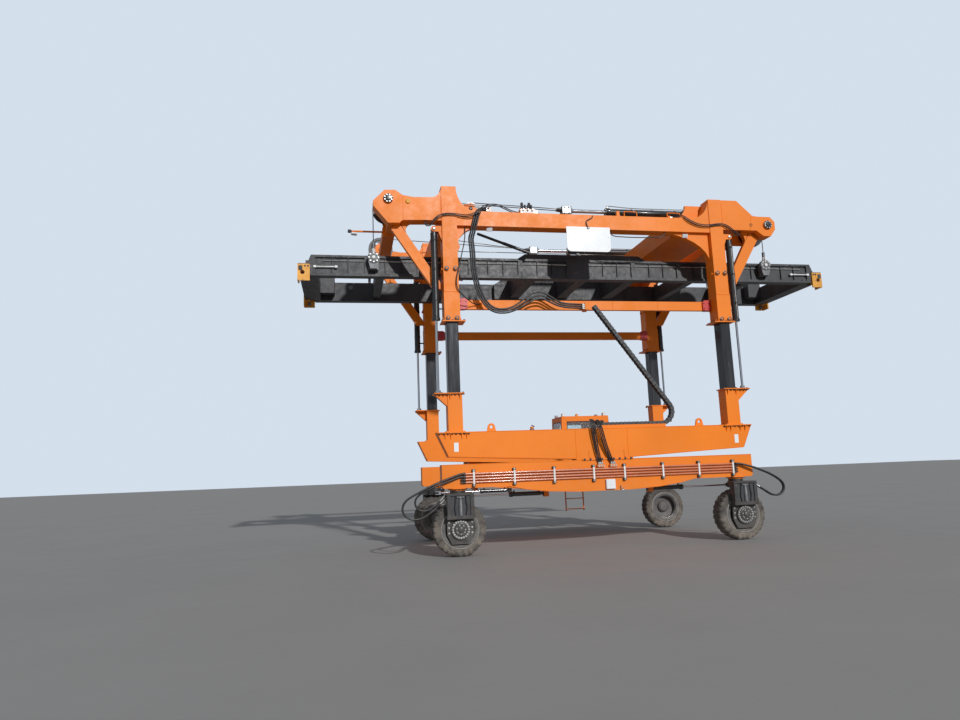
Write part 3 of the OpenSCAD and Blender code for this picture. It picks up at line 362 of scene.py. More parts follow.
def capped(rings):
    """A closed skin over an array of rings (ring, side, xyz), with a flat face at both ends."""
    count, sides = rings.shape[:2]
    ends = np.arange(sides)
    return outward(rings.reshape(-1, 3), [grid_faces(count, sides), ends[None, ::-1],
                                          (ends + (count - 1) * sides)[None]])


# %% Turned shapes and rings
def lathe(profile, sides=20):
    """A profile of (height, radius) turned round +Z: x = r cos a, y = r sin a."""
    h, r = np.array(profile, float).T
    a = np.linspace(0, 2 * np.pi, sides, endpoint=False)
    return capped(np.stack(np.broadcast_arrays(r[:, None] * np.cos(a), r[:, None] * np.sin(a),
                                               h[:, None]), -1))


def torus(radius, thick, sides=28, ring=8):
    """A ring of round section about +Z: (R + r cos b) from the axis and r sin b high."""
    a = np.linspace(0, 2 * np.pi, sides, endpoint=False)[:, None]
    b = np.linspace(0, 2 * np.pi, ring, endpoint=False)[None, :]
    p = np.stack(np.broadcast_arrays((radius + thick * np.cos(b)) * np.cos(a),
                                     (radius + thick * np.cos(b)) * np.sin(a),
                                     thick * np.sin(b)), -1)
    return outward(p.reshape(-1, 3), [grid_faces(sides, ring, closed=True)])


# %% Paths and what is carried along them
def smooth_path(points, step=0.04):
    """Points along a Catmull-Rom curve through the given ones, about step apart."""
    p = np.array(points, float)
    p = np.vstack([2 * p[0] - p[1], p, 2 * p[-1] - p[-2]])
    out = []
    for a, b, c, d in zip(p[:-3], p[1:-2], p[2:-1], p[3:]):
        t = np.linspace(0, 1, max(2, int(np.linalg.norm(c - b) / step) + 1), endpoint=False)[:, None]
        out.append(0.5 * (2 * b + (c - a) * t + (2 * a - 5 * b + 4 * c - d) * t**2
                          + (3 * b - a - 3 * c + d) * t**3))
    return np.vstack(out + [p[-2:-1]])


def path_frames(path):
    """Two unit vectors across a path at each point, carried along it without twist."""
    path = np.array(path, float)
    along = np.gradient(path, axis=0)
    along /= np.linalg.norm(along, axis=1)[:, None]
    side = np.cross(along[0], [0, 0, 1] if abs(along[0][2]) < 0.9 else [1, 0, 0])
    sides = []
    for t in along:
        side = side - t * (side @ t)
        side = side / np.linalg.norm(side)
        sides.append(side)
    sides = np.array(sides)
    return along, sides, np.cross(along, sides)


def tube(path, radius, sides=8):
    """A circle carried along a path: path + r (cos a side + sin a top)."""
    _, side, top = path_frames(path)
    a = np.linspace(0, 2 * np.pi, sides, endpoint=False)
    r = np.broadcast_to(np.asarray(radius, float), (len(path),))[:, None, None]
    circle = np.cos(a)[None, :, None] * side[:, None] + np.sin(a)[None, :, None] * top[:, None]
    return capped(np.asarray(path, float)[:, None] + r * circle)


# %% Plates and blocks
def plate(outline, low, high, chamfer=0.004):
    """A flat outline in XY between two heights; a small chamfer moves its rims in along the mitres."""
    p = np.array(outline, float)
    nxt = np.roll(p, -1, axis=0)
    if np.sum(p[:, 0] * nxt[:, 1] - nxt[:, 0] * p[:, 1]) < 0:
        p = p[::-1]
        nxt = np.roll(p, -1, axis=0)
    edge = nxt - p
    edge /= np.linalg.norm(edge, axis=1)[:, None]
    inner = np.stack([-edge[:, 1], edge[:, 0]], 1)
    before = np.roll(inner, 1, axis=0)
    mitre = (inner + before) / (1 + np.sum(inner * before, axis=1))[:, None]
    small = p + mitre * chamfer
    rings = [(small, low), (p, low + chamfer), (p, high - chamfer), (small, high)]
    return capped(np.stack([np.column_stack([q, np.full(len(q), h)]) for q, h in rings]))


def brick(low, high, chamfer=0.004):
    """A block between two corners with chamfered upright edges and rims."""
    (x0, y0, z0), (x1, y1, z1) = np.minimum(low, high), np.maximum(low, high)
    c = min(chamfer, 0.3 * min(x1 - x0, y1 - y0, z1 - z0))
    outline = [(x0 + c, y0), (x1 - c, y0), (x1, y0 + c), (x1, y1 - c), (x1 - c, y1), (x0 + c, y1),
               (x0, y1 - c), (x0, y0 + c)]
    return plate(outline, z0, z1, c * 0.9)


# %% Placing, repeating and joining shapes
def axes_for(z, x=None):
    """Rows x, y, z of a right-handed set of axes: z as given, x as near as may be to the given x."""
    z = np.array(z, float) / np.linalg.norm(z)
    x = np.array(x if x is not None else ([1, 0, 0] if abs(z[0]) < 0.9 else [0, 0, 1]), float)
    x = x - z * (x @ z)
    x /= np.linalg.norm(x)
    return np.stack([x, np.cross(z, x), z])


def at(shape, places, z=(0, 0, 1), x=None):
    """The shape with its Z turned to z, repeated at each place."""
    points, faces = shape
    places = np.atleast_2d(np.array(places, float))
    step = (np.arange(len(places)) * len(points))[:, None, None]
    moved = (points @ axes_for(z, x))[None] + places[:, None]
    return moved.reshape(-1, 3), [(f[None] + step).reshape(-1, f.shape[1]) for f in faces]


def join(*shapes):
    """Several shapes as one."""
    starts = np.cumsum([0] + [len(points) for points, _ in shapes[:-1]])
    moved = [f + start for (_, faces), start in zip(shapes, starts) for f in faces]
    return np.vstack([points for points, _ in shapes]), moved


# %% Mirror images
def mirrored(shape, axis, about=0.0):
    """The shape reflected in a plane across an axis, with its faces turned round to stay outward."""
    points, faces = shape
    points = points.copy()
    points[:, axis] = 2 * about - points[:, axis]
    return points, [np.ascontiguousarray(f[:, ::-1]) for f in faces]


def both_ends(shape):
    """The shape and its mirror image at the machine's other end."""
    return join(shape, mirrored(shape, 0))


def other_side(shape):
    """The shape mirrored to the other side of the lane."""
    return mirrored(shape, 1, LANE_Y)


# %% From a shape to a piece of the scene
made = []
CHASSIS, PORTAL = ("near_chassis", "far_chassis"), ("portal", "portal")
HOIST_RODS, SPREADER = ("hoist_rods", "hoist_rods"), ("spreader", "spreader")


def piece(name, shape, body, material, slot=None, sharp=38):
    """Puts a shape into a mesh object that rides on a body; sharper edges than the angle stay crisp."""
    points, faces = shape
    sizes = np.concatenate([np.full(len(f), f.shape[1]) for f in faces])
    mesh = bpy.data.meshes.new(name)
    mesh.vertices.add(len(points))
    mesh.vertices.foreach_set("co", points.astype(np.float32).ravel())
    mesh.loops.add(int(sizes.sum()))
    mesh.loops.foreach_set("vertex_index", np.concatenate([f.ravel() for f in faces]).astype(np.int32))
    mesh.polygons.add(len(sizes))
    mesh.polygons.foreach_set("loop_start", np.concatenate([[0], np.cumsum(sizes)[:-1]]).astype(np.int32))
    mesh.update(calc_edges=True)
    mesh.validate()
    mesh.polygons.foreach_set("use_smooth", np.ones(len(sizes), bool))
    mesh.set_sharp_from_angle(angle=np.radians(sharp))
    mesh.materials.append(material)
    obj = bpy.data.objects.new(name, mesh)
    bpy.context.scene.collection.objects.link(obj)
    if body:
        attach(obj, body)
    made.append((name, int((sizes - 2).sum())))
    return obj


def on_sides(name, near_shape, bodies, material, slot=None, **more):
    """The near side's shape and its mirror image, each on its own body."""
    piece(name + "_near", near_shape, bodies[0], material, slot, **more)
    piece(name + "_far", other_side(near_shape), bodies[1], material, slot, **more)


def Y(d):
    """Y at the distance d from the lane's middle on the near side."""
    return LANE_Y - d


# %% [markdown]
# ## Bolts
# Flanges, hubs and covers are held by hex bolts on washers. One bolt is a small chamfered
# hexagon on a thin disc; every row of bolts is that shape repeated at a list of places.

# %% A bolt, and the bolted rims of the side frames
def bolt(size):
    """A hex head and its washer for a bolt of that width across, standing on Z = 0."""
    a = np.radians(np.arange(0, 360, 60))
    head = plate(np.stack([np.cos(a), np.sin(a)], 1) * size * 0.58, 0.12 * size, 0.62 * size, 0.08 * size)
    return join(head, lathe([(0, size * 0.8), (0.14 * size, size * 0.8)], 12))


OUT, AWAY, DOWN = (0, -1, 0), (0, 1, 0), (0, 0, -1)


def row(x0, x1, count, y, z):
    """Places in a row along X."""
    return np.stack(np.broadcast_arrays(np.linspace(x0, x1, count), y, z), 1)


top_rim = brick((COL_X - 0.19, Y(1.99), STUB_TOP - FLANGE_T), (COL_X + 0.415, Y(2.045), STUB_TOP))
gusset = plate([(0, 0), (0.045, 0), (0.045, 0.012), (0.006, 0.12), (0, 0.12)], -0.006, 0.006, 0.001)
stays = join(*[at(gusset, (COL_X + dx, Y(2.0), STUB_TOP - FLANGE_T), (1, 0, 0), OUT)
               for dx in (-0.10, 0.10)])
on_sides("flange_rims", both_ends(join(top_rim, stays)), CHASSIS, ORANGE, "machine_orange")
rim_bolts = join(
    at(bolt(0.034), row(COL_X - 0.25, COL_X + 0.33, 8, Y(2.03), BEAM_TOP - SHELF_T), DOWN),
    at(bolt(0.034), row(COL_X - 0.17, COL_X + 0.38, 8, Y(2.025), STUB_TOP - FLANGE_T), DOWN),
    at(bolt(0.034), row(COL_X - 0.17, COL_X + 0.12, 5, Y(1.99), STUB_TOP)))
on_sides("flange_bolts", both_ends(rim_bolts), CHASSIS, DARK_BOLT)
print(made[-1])

# %% [markdown]
# ## The sleeves' adjusters
# Each sleeve rides on wear pads, and each pad is pressed in by a round screwed plug. The plugs
# sit in pairs at two heights on the outer face.

# %% Adjusters, foot bolts and seams of the sleeves
plug_ring = lathe([(0, 0.046), (0.010, 0.046), (0.012, 0.040), (0.012, 0.026), (0.004, 0.024),
                   (0.004, 0.018), (0.003, 0.001)], 20)
plug_core = lathe([(0, 0.022), (0.020, 0.020), (0.023, 0.008)], 14)
levels = (FOOT_Z + 0.07, FOOT_Z + 1.11)
plug_places = [(COL_X + u, Y(SLEEVE_OUT + 0.030), z) for u in (-0.09, 0.09) for z in levels]
on_sides("adjuster_rings", both_ends(at(plug_ring, plug_places, OUT)), PORTAL, DARK_BOLT)
on_sides("adjuster_sockets", both_ends(at(plug_core, plug_places, OUT)), PORTAL, ORANGE,
         "machine_orange")
front_row = [(COL_X + dx, Y(2.030), FOOT_Z + FLANGE_T) for dx in (-0.24, -0.12, 0.0, 0.12, 0.19)]
side_row = [(COL_X - 0.235, Y(d), FOOT_Z + FLANGE_T) for d in (1.70, 1.80, 1.90, 1.98)]
foot_bolts = join(at(bolt(0.034), front_row), at(bolt(0.034), side_row))
on_sides("foot_bolts", both_ends(foot_bolts), PORTAL, DARK_BOLT)
level = FOOT_Z + 0.62
seam = tube([(COL_X - 0.164, Y(2.0235), level), (COL_X + 0.164, Y(2.0235), level)], 0.006, 6)
edges = [tube([(COL_X + u, Y(BRACKET_OUT + 0.001), z) for z in (UPPER_Z + 0.02, SLEEVE_TOP - 0.04)],
              0.006, 6) for u in (-0.155, 0.155)]
on_sides("sleeve_welds", both_ends(join(seam, *edges)), PORTAL, ORANGE, "machine_orange")

# %% [markdown]
# ## Pipes on the rocker
# Four hydraulic pipes run along each rocker in eight clamps: black plastic blocks under a pale
# steel strap. The pipes are painted over, dusty red between dark gaps.

# %% Pipe shells, straps and clamp blocks
PIPE_ROWS = (1.410, 1.465, 1.520, 1.575)
PIPE_D = BEAM_OUT + 0.034
CLAMPS = (-2.70, -1.88, -1.06, -0.23, 0.43, 1.27, 2.075, 2.85)
pipes = join(*[tube(row(-2.9, 2.9, 3, Y(PIPE_D), z), 0.0182, 14) for z in PIPE_ROWS])
on_sides("pipe_run", pipes, CHASSIS, PIPE)
pipe_nut = lathe([(0, 0.019), (0.004, 0.026), (0.05, 0.026), (0.054, 0.020), (0.10, 0.020)], 6)
nuts = join(*[at(pipe_nut, (s * 2.86, Y(PIPE_D), z), (s, 0, 0)) for z in PIPE_ROWS for s in (-1, 1)])
on_sides("pipe_nuts", nuts, CHASSIS, DARK_BOLT)
strap_fronts = [brick((x - 0.018, Y(PIPE_D + 0.018), 1.372),
                      (x + 0.018, Y(PIPE_D + 0.027), 1.613), 0.002) for x in CLAMPS]
strap_ends = [brick((x - 0.018, Y(BEAM_OUT + 0.02), z),
                    (x + 0.018, Y(PIPE_D + 0.026), z + 0.008), 0.002)
              for x in CLAMPS for z in (1.370, 1.607)]
on_sides("pipe_straps", join(*strap_fronts, *strap_ends), CHASSIS, STRAP)
outer_blocks = [brick((x - 0.032, Y(BEAM_OUT - 0.002), z),
                      (x + 0.032, Y(BEAM_OUT + 0.056), z + 0.045), 0.004)
                for x in CLAMPS for z in (1.325, 1.615)]
inner_blocks = [brick((x - 0.027, Y(BEAM_OUT + 0.02), z + 0.020),
                      (x + 0.027, Y(PIPE_D + 0.012), z + 0.034), 0.002)
                for x in CLAMPS for z in PIPE_ROWS[:3]]
on_sides("clamp_blocks", join(*outer_blocks, *inner_blocks), CHASSIS, TRIM)
clamp_bolts = [(x, Y(BEAM_OUT + 0.056), z) for x in CLAMPS for z in (1.347, 1.637)]
on_sides("clamp_bolts", at(bolt(0.022), clamp_bolts, OUT), CHASSIS, ZINC)

# %% [markdown]
# ## Forms that are bolted and welded onto the solids
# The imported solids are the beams, columns and cylinders. On them sit shelves, rounded gussets,
# clamps, accumulators, and the red blocks that join the tie bars to the columns.

# %% Shelves under the columns and the tie bars' ends
TIE_LOW, TIE_HIGH, TIE_END = FOOT_Z + 0.325, FOOT_Z + 0.523, COL_X - SLEEVE_W / 2 - 0.008
TIE_IN, TIE_OUT = 1.628, 1.772


def profile(outline, d0, d1, chamfer=0.003):
    """An outline in X and Z carried across between two distances from the lane's middle."""
    p, faces = plate(outline, min(d0, d1), max(d0, d1), chamfer)
    return outward(np.column_stack([p[:, 0], LANE_Y - p[:, 2], p[:, 1]]), faces)


shelf = join(brick((COL_X - 0.265, Y(2.005), BEAM_TOP - SHELF_T),
                   (COL_X + 0.365, Y(2.050), BEAM_TOP - 0.004)),
             *[at(gusset, (COL_X + dx, Y(BEAM_OUT), BEAM_TOP - SHELF_T), (1, 0, 0), OUT)
               for dx in (-0.21, -0.11, 0.11, 0.22)])
on_sides("column_shelves", both_ends(shelf), CHASSIS, ORANGE, "machine_orange")
tie_block = profile([(TIE_END - 0.20, TIE_LOW + 0.012), (TIE_END - 0.15, TIE_LOW - 0.006),
                     (TIE_END, TIE_LOW - 0.006), (TIE_END, TIE_HIGH + 0.030),
                     (TIE_END - 0.15, TIE_HIGH + 0.030), (TIE_END - 0.20, TIE_HIGH - 0.012)],
                    TIE_IN, TIE_OUT)
tie_bolts = [(TIE_END - 0.17 + 0.11 * i, Y(TIE_OUT), z) for i in (0, 1) for z in (5.0, 5.12)]
on_sides("tie_ends", both_ends(join(tie_block, at(bolt(0.026), tie_bolts, OUT))), PORTAL, RED)

# %% Rounded gussets between strut and bracket, and the stays of the cylinders' ears
BRACKET_X, ROUND = COL_X + SLEEVE_W / 2, 0.170
STRUT_FOOT, STRUT_RISE = 0.80, 1.34
EAR_Z = FOOT_Z + 1.97


def strut_gusset(top_x, under):
    """The corner between a strut and a bracket's underside, cut back by an arc that touches both.

    The strut's inner edge starts STRUT_FOOT above the column's foot and rises STRUT_RISE over top_x.
    """
    slope = STRUT_RISE / top_x
    middle = (under - ROUND - STRUT_FOOT - ROUND * np.hypot(1, slope)) / slope
    a = np.linspace(np.pi / 2, -np.arctan(1 / slope), 9)
    edge = np.column_stack([middle + ROUND * np.cos(a), under - ROUND + ROUND * np.sin(a)])
    outline = np.vstack([[top_x - 0.02, under + 0.004], [middle, under + 0.004], edge])
    return outline + [BRACKET_X, FOOT_Z]


stays = join(profile(strut_gusset(0.76, 2.130), 1.72, 1.83),
             mirrored(profile(strut_gusset(0.88, 2.146), 1.72, 1.83), 0))
ear_stay = join(*[profile([(BRACKET_X, EAR_Z - 0.055), (BRACKET_X + 0.075, EAR_Z - 0.055),
                           (BRACKET_X + 0.075, EAR_Z - 0.070), (BRACKET_X, EAR_Z - 0.27)], d, d + 0.022)
                  for d in (1.848, 1.950)])
on_sides("round_gussets", join(stays, both_ends(ear_stay)), PORTAL, ORANGE, "machine_orange")

# %% Hose blocks, lamp arms, accumulators and lock housings
blocks = join(*[brick((x0, Y(1.79), UPPER_TOP - 0.005), (x1, Y(1.925), UPPER_TOP + h), 0.006)
                for x0, x1, h in ((-2.15, -2.09, 0.150), (-1.47, -1.13, 0.120), (1.92, 1.98, 0.070))],
              brick((-0.16, Y(1.725), 4.905), (-0.07, Y(1.96), 5.065), 0.006),
              brick((-2.40, Y(1.725), 5.025), (-2.35, Y(1.805), 5.075), 0.006))
piece("hose_blocks", blocks, "portal", ORANGE, "machine_orange")
feet = [brick((x0, Y(2.005), 1.60), (x1, Y(2.082), 1.66), 0.006)
        for x0, x1 in ((-0.150, 0.002), (0.118, 0.270))]
piece("hose_feet", join(*feet), "near_chassis", ORANGE, "machine_orange")
ARM_D, ARM_Z = 1.20, 6.77
lamp_arm = tube([(x, Y(ARM_D), ARM_Z) for x in (-5.045, -4.7, -4.345)], 0.020, 14)
on_sides("lamp_arms", lamp_arm, PORTAL, ORANGE, "machine_orange")
tank = join(at(lathe([(0, 0.020), (0.006, 0.036), (0.02, 0.045), (1.45, 0.045), (1.464, 0.036),
                      (1.47, 0.020)], 24), (1.07, Y(1.528), 7.26), (1, 0, 0)),
            *[brick((x, Y(1.476), 7.24), (x + 0.045, Y(1.58), 7.312), 0.006) for x in (1.25, 2.31)])
on_sides("accumulators", tank, PORTAL, BLACK, "black_paint")
housing = brick((5.39, Y(0.72), 5.91), (5.75, Y(0.98), 6.31), 0.012)
on_sides("lock_housings", both_ends(housing), SPREADER, WORN, "worn_black")
print(made[-4:])

# %% [markdown]
# ## Wheels
# A tyre is one closed grid: a profile carried round the axle, its radius lowered where a groove
# runs. The grooves are a mask of the angle and the place across the tread, so the pattern
# repeats exactly and both shoulders are cut alike.

# %% Tyres with their tread
LUGS = 28
TREAD_DEPTH = 0.017


def smoothstep(lo, hi, v):
    """0 below lo, 1 above hi, and t^2 (3 - 2t) between."""
    t = np.clip((v - lo) / (hi - lo), 0, 1)
    return t * t * (3 - 2 * t)


def tyre_shape():
    """Rings of the profile (y, r), with r lowered in the zigzag grooves and the shoulder slots."""
    half = TYRE_W / 2
    side = np.array([(0.300, 0.130), (0.308, 0.142), (0.322, 0.150), (0.334, 0.158), (0.342, 0.166),
                     (0.350, 0.170), (0.358, 0.166), (0.366, 0.168), (0.390, 0.1735), (0.415, 0.175),
                     (0.436, 0.175), (0.442, 0.1725), (0.448, 0.174), (0.462, 0.172), (0.478, 0.168),
                     (0.492, 0.162), (0.504, 0.156), (0.513, 0.148), (0.519, 0.138), (0.523, 0.128)])
    tread = np.linspace(0.118, -0.118, 25)
    r = np.concatenate([side[:, 0], np.full(25, TYRE_R), side[::-1, 0]])
    y = np.concatenate([side[:, 1] * half / 0.175, tread, -side[::-1, 1] * half / 0.175])
    a = np.linspace(0, 2 * np.pi, LUGS * 12, endpoint=False)[:, None]
    phase = (a * LUGS / (2 * np.pi) + 0.5 * (y[None, :] > 0)) % 1.0
    slot = 1 - smoothstep(0.10, 0.20, np.abs(phase - 0.5))
    outer = smoothstep(0.055, 0.075, np.abs(y))[None, :] * smoothstep(0.462, 0.478, r)[None, :]
    wave = 0.012 * np.sign(np.sin(a * LUGS)) * np.abs(np.sin(a * LUGS)) ** 0.5
    zigzag = 1 - smoothstep(0.006, 0.012, np.abs(np.abs(y[None, :] + wave) - 0.045))
    middle = (1 - smoothstep(0.006, 0.013, np.abs(y[None, :] + wave))) * 0.7
    depth = TREAD_DEPTH * np.maximum(slot * outer, np.maximum(zigzag, middle) * (r[None, :] > 0.52))
    rr = r[None, :] - depth
    p = np.stack([rr * np.cos(a), np.broadcast_to(y[None, :], rr.shape), rr * np.sin(a)], -1)
    return outward(p.reshape(-1, 3), [grid_faces(len(a), len(r), closed=True)])


STATIONS = {"nl": (-1, NEAR), "nr": (1, NEAR), "fl": (-1, FAR), "fr": (1, FAR)}
tyre = tyre_shape()
for key, (end, side) in STATIONS.items():
    shape = (tyre[0] + (end * WHEEL_X, y_at(side, SIDE_Y), HUB_Z), tyre[1])
    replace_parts(piece(f"tyre_tread_{key}", shape, f"wheel_{key}", TYRE, "tyre", sharp=30), f"tyre_{key}")
print(made[-1])

# %% [markdown]
# ## Knuckles and hubs
# The box beside each wheel has a raised frame round a recess, with the wheel's motor and its
# pipes inside. The hub's cover is held by a ring of bright bolts.

# %% Where the motor's pipes end
FRONT = BOX_OUT + 0.026
PORT_A, PORT_R, PORT_SLOPE = np.radians(29.7), 0.447, np.radians(35)
PORT_Z = (1.017, 1.074)


def on_near_side(route):
    """Points given as (x, distance from the lane's middle, z) in millimetres, as places in metres."""
    p = np.array(route, float) / 1000
    return np.column_stack([p[:, 0], LANE_Y - p[:, 1], p[:, 2]])


def port(z, out):
    """A point on the line of a knuckle's pipe, out metres before its end, as (x, d, z) in mm."""
    r = PORT_R + out * np.cos(PORT_SLOPE)
    return (1000 * r * np.cos(PORT_A), 1000 * (SIDE_Y + r * np.sin(PORT_A)),
            1000 * (z - out * np.sin(PORT_SLOPE)))


# %% Knuckle fronts and hub covers
angles = np.radians(np.arange(0, 360, 18))
for key, (end, side) in STATIONS.items():
    x = end * WHEEL_X
    face = PLATE_OUT + 0.04
    ring = [(x + 0.155 * np.cos(t), Y(face), HUB_Z + 0.155 * np.sin(t)) for t in angles]
    small = [(x + 0.085 * np.cos(t), Y(PLATE_OUT + 0.07), HUB_Z + 0.085 * np.sin(t)) for t in angles[::3]]
    plate_bolts = [(x + dx, Y(PLATE_OUT), z) for dx in (-0.225, 0.225) for z in (0.46, 0.56, 0.66)]
    box_bolts = [(x + dx, Y(BOX_OUT), z) for dx in (-0.232, 0.232) for z in (0.80, 0.90, 1.00, 1.10)]
    bolts = join(at(bolt(0.026), ring, OUT), at(bolt(0.018), small, OUT),
                 at(bolt(0.024), plate_bolts, OUT), at(bolt(0.022), box_bolts, OUT))
    cover = join(at(lathe([(0, 0.132), (0.010, 0.132), (0.016, 0.124), (0.018, 0.104), (0.010, 0.100),
                           (0.010, 0.02)], 32),
                    (x, Y(face), HUB_Z), OUT),
                 at(lathe([(0, 0.060), (0.014, 0.060), (0.020, 0.052), (0.022, 0.01)], 24),
                    (x, Y(PLATE_OUT + 0.07), HUB_Z), OUT))
    frame_bars = join(brick((x - 0.2625, Y(BOX_OUT), 1.165), (x + 0.2625, Y(FRONT), 1.205)),
                      brick((x - 0.2725, Y(2.085), 0.723), (x + 0.2725, Y(FRONT + 0.004), 0.790)),
                      *[brick((x + s * 0.2625, Y(BOX_OUT), 0.78), (x + s * 0.190, Y(FRONT), 1.175))
                        for s in (-1, 1)])
    back = brick((x - 0.195, Y(BOX_OUT), 0.785), (x + 0.195, Y(BOX_OUT + 0.002), 1.17), 0.0005)
    motor = join(at(lathe([(0, 0.040), (0.20, 0.040), (0.21, 0.034), (0.34, 0.030), (0.345, 0.02)], 20),
                    (x, Y(BOX_OUT + 0.006), 0.79)),
                 at(lathe([(0, 0.026), (0.02, 0.030), (0.05, 0.030), (0.06, 0.024)], 6),
                    (x, Y(BOX_OUT + 0.006), 1.09)),
                 brick((x - 0.075, Y(BOX_OUT), 1.125), (x + 0.075, Y(FRONT + 0.004), 1.155)))
    course = ((0.10, 0.012, 1.16), (0.105, 0.014, 1.05), (0.12, 0.014, 0.93), (0.10, 0.012, 0.80))
    lines = join(*[tube(smooth_path([(x + s * u, Y(BOX_OUT + out), z) for u, out, z in course]),
                        0.012, 8) for s in (-1, 1)])
    parts = [(f"hub_bolts_{key}", bolts, ZINC), (f"hub_cover_{key}", cover, KNUCKLE),
             (f"wheel_motor_{key}", motor, CAST), (f"motor_pipes_{key}", lines, BLACK),
             (f"knuckle_frame_{key}", frame_bars, KNUCKLE), (f"knuckle_back_{key}", back, TRIM)]
    for name, shape, material in parts:
        piece(name, other_side(shape) if side == FAR else shape, f"knuckle_{key}", material)
print(made[-4:])

# %% Rim details: nuts on the inner half, and the dished disc and lip at both faces
RIM_FACES = (SIDE_Y + TYRE_W / 2 - 0.003, SIDE_Y - TYRE_W / 2 + 0.003)
for key, (end, side) in STATIONS.items():
    x = end * WHEEL_X
    nuts = [(x + 0.215 * np.cos(t), Y(SIDE_Y + 0.006), HUB_Z + 0.215 * np.sin(t)) for t in angles[::2]]
    inner = join(at(bolt(0.030), nuts, AWAY),
                 at(torus(0.286, 0.006, 40, 8), (x, Y(SIDE_Y - 0.135), HUB_Z), AWAY))
    piece(f"wheel_nuts_{key}", other_side(inner) if side == FAR else inner, f"wheel_{key}", ZINC)
    dish, dish_faces = torus(0.332, 0.036, 64, 12)
    flat_dish = (dish * (1, 1, 0.2), dish_faces)
    for name, shape, material in (("rim_dish", flat_dish, RIM),
                                  ("rim_lip", torus(0.367, 0.012, 64, 8), RIM_EDGE)):
        shape = join(*[at(shape, (x, Y(d), HUB_Z), OUT) for d in RIM_FACES])
        piece(f"{name}_{key}", other_side(shape) if side == FAR else shape, f"wheel_{key}", material)

# %% [markdown]
# ## Hoses
# A hose is a fixed length of rubber on one smooth curve. The points of its route are listed to lie
# where the photograph shows the hose, and are written as x, the distance from the lane's middle,
# and z in millimetres. The wheel hoses' x counts from the kingpin. Each route's length is measured
# and printed.

# %% A hose and its length
WHEEL_HOSE_R, CHAIN_HOSE_R, MAIN_HOSE_R, THIN_HOSE_R = 0.019, 0.0135, 0.019, 0.011
lengths = {}


def length_of(path):
    """The sum of the distances from point to point."""
    return float(np.linalg.norm(np.diff(path, axis=0), axis=1).sum())


def hose(name, path, radius, body, sides=10, bends=None):
    """A hose on a smooth path, with its length noted; with bends it rides on no body and is baked in place.
    """
    path = smooth_path(path, 0.03)
    obj = piece(name, tube(path, radius, sides), None if bends else body, HOSE, sharp=60)
    if bends:
        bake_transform(obj)
    lengths[name] = round(length_of(path), 2)


# %% Routes at the wheels
loop_large = [
    (-100, 2044, 1575), (-60, 2044, 1575), (10, 2055, 1560), (110, 2072, 1527), (240, 2095, 1485),
    (380, 2115, 1437), (520, 2130, 1382), (660, 2138, 1318), (800, 2140, 1250), (930, 2140, 1185),
    (1030, 2140, 1120), (1095, 2140, 1035), (1112, 2140, 935), (1070, 2140, 838), (980, 2140, 772),
    (860, 2140, 752), (740, 2140, 775), (640, 2140, 825), (560, 2136, 880)
]
loop_small = [
    (-100, 2044, 1520), (-60, 2044, 1520), (20, 2055, 1505), (110, 2070, 1475), (230, 2088, 1437),
    (360, 2105, 1395), (490, 2120, 1350), (610, 2128, 1302), (715, 2130, 1252), (795, 2130, 1200),
    (850, 2130, 1135), (868, 2130, 1058), (845, 2130, 980), (785, 2130, 925), (705, 2130, 905),
    (620, 2130, 918), (545, 2128, 955)
]
loop_single = [
    (-100, 2044, 1575), (-60, 2044, 1575), (30, 2052, 1563), (160, 2078, 1525), (300, 2098, 1480),
    (430, 2112, 1428), (560, 2122, 1372), (680, 2128, 1310), (785, 2130, 1245), (862, 2132, 1180),
    (908, 2132, 1105), (912, 2132, 1025), (872, 2132, 953), (800, 2132, 905), (715, 2132, 892),
    (625, 2132, 910), (545, 2128, 952)
]

# %% Routes from the drag chain down to the rocker
chain_loop_a = [
    (60, 1880, 2479), (8, 1880, 2481), (-45, 1885, 2494), (-95, 1903, 2516), (-135, 1934, 2545),
    (-160, 1975, 2568), (-171, 2018, 2573), (-175, 2056, 2556), (-175, 2086, 2518),
    (-172, 2101, 2468), (-168, 2106, 2408), (-161, 2103, 2338), (-152, 2096, 2260),
    (-141, 2088, 2180), (-128, 2080, 2095), (-113, 2072, 2005), (-97, 2064, 1915),
    (-79, 2056, 1825), (-60, 2048, 1745), (-46, 2043, 1695), (-40, 2036, 1652), (-40, 2027, 1612)]
chain_loop_b = [
    (60, 1922, 2479), (10, 1922, 2481), (-35, 1928, 2492), (-76, 1948, 2512), (-106, 1980, 2533),
    (-122, 2022, 2547), (-128, 2066, 2545), (-127, 2106, 2524), (-121, 2134, 2485),
    (-110, 2148, 2435), (-96, 2152, 2375), (-79, 2149, 2305), (-58, 2140, 2225), (-33, 2127, 2140),
    (-4, 2111, 2050), (29, 2094, 1960), (64, 2077, 1875), (98, 2062, 1795), (130, 2050, 1728),
    (150, 2044, 1690), (159, 2037, 1652), (160, 2027, 1612)]

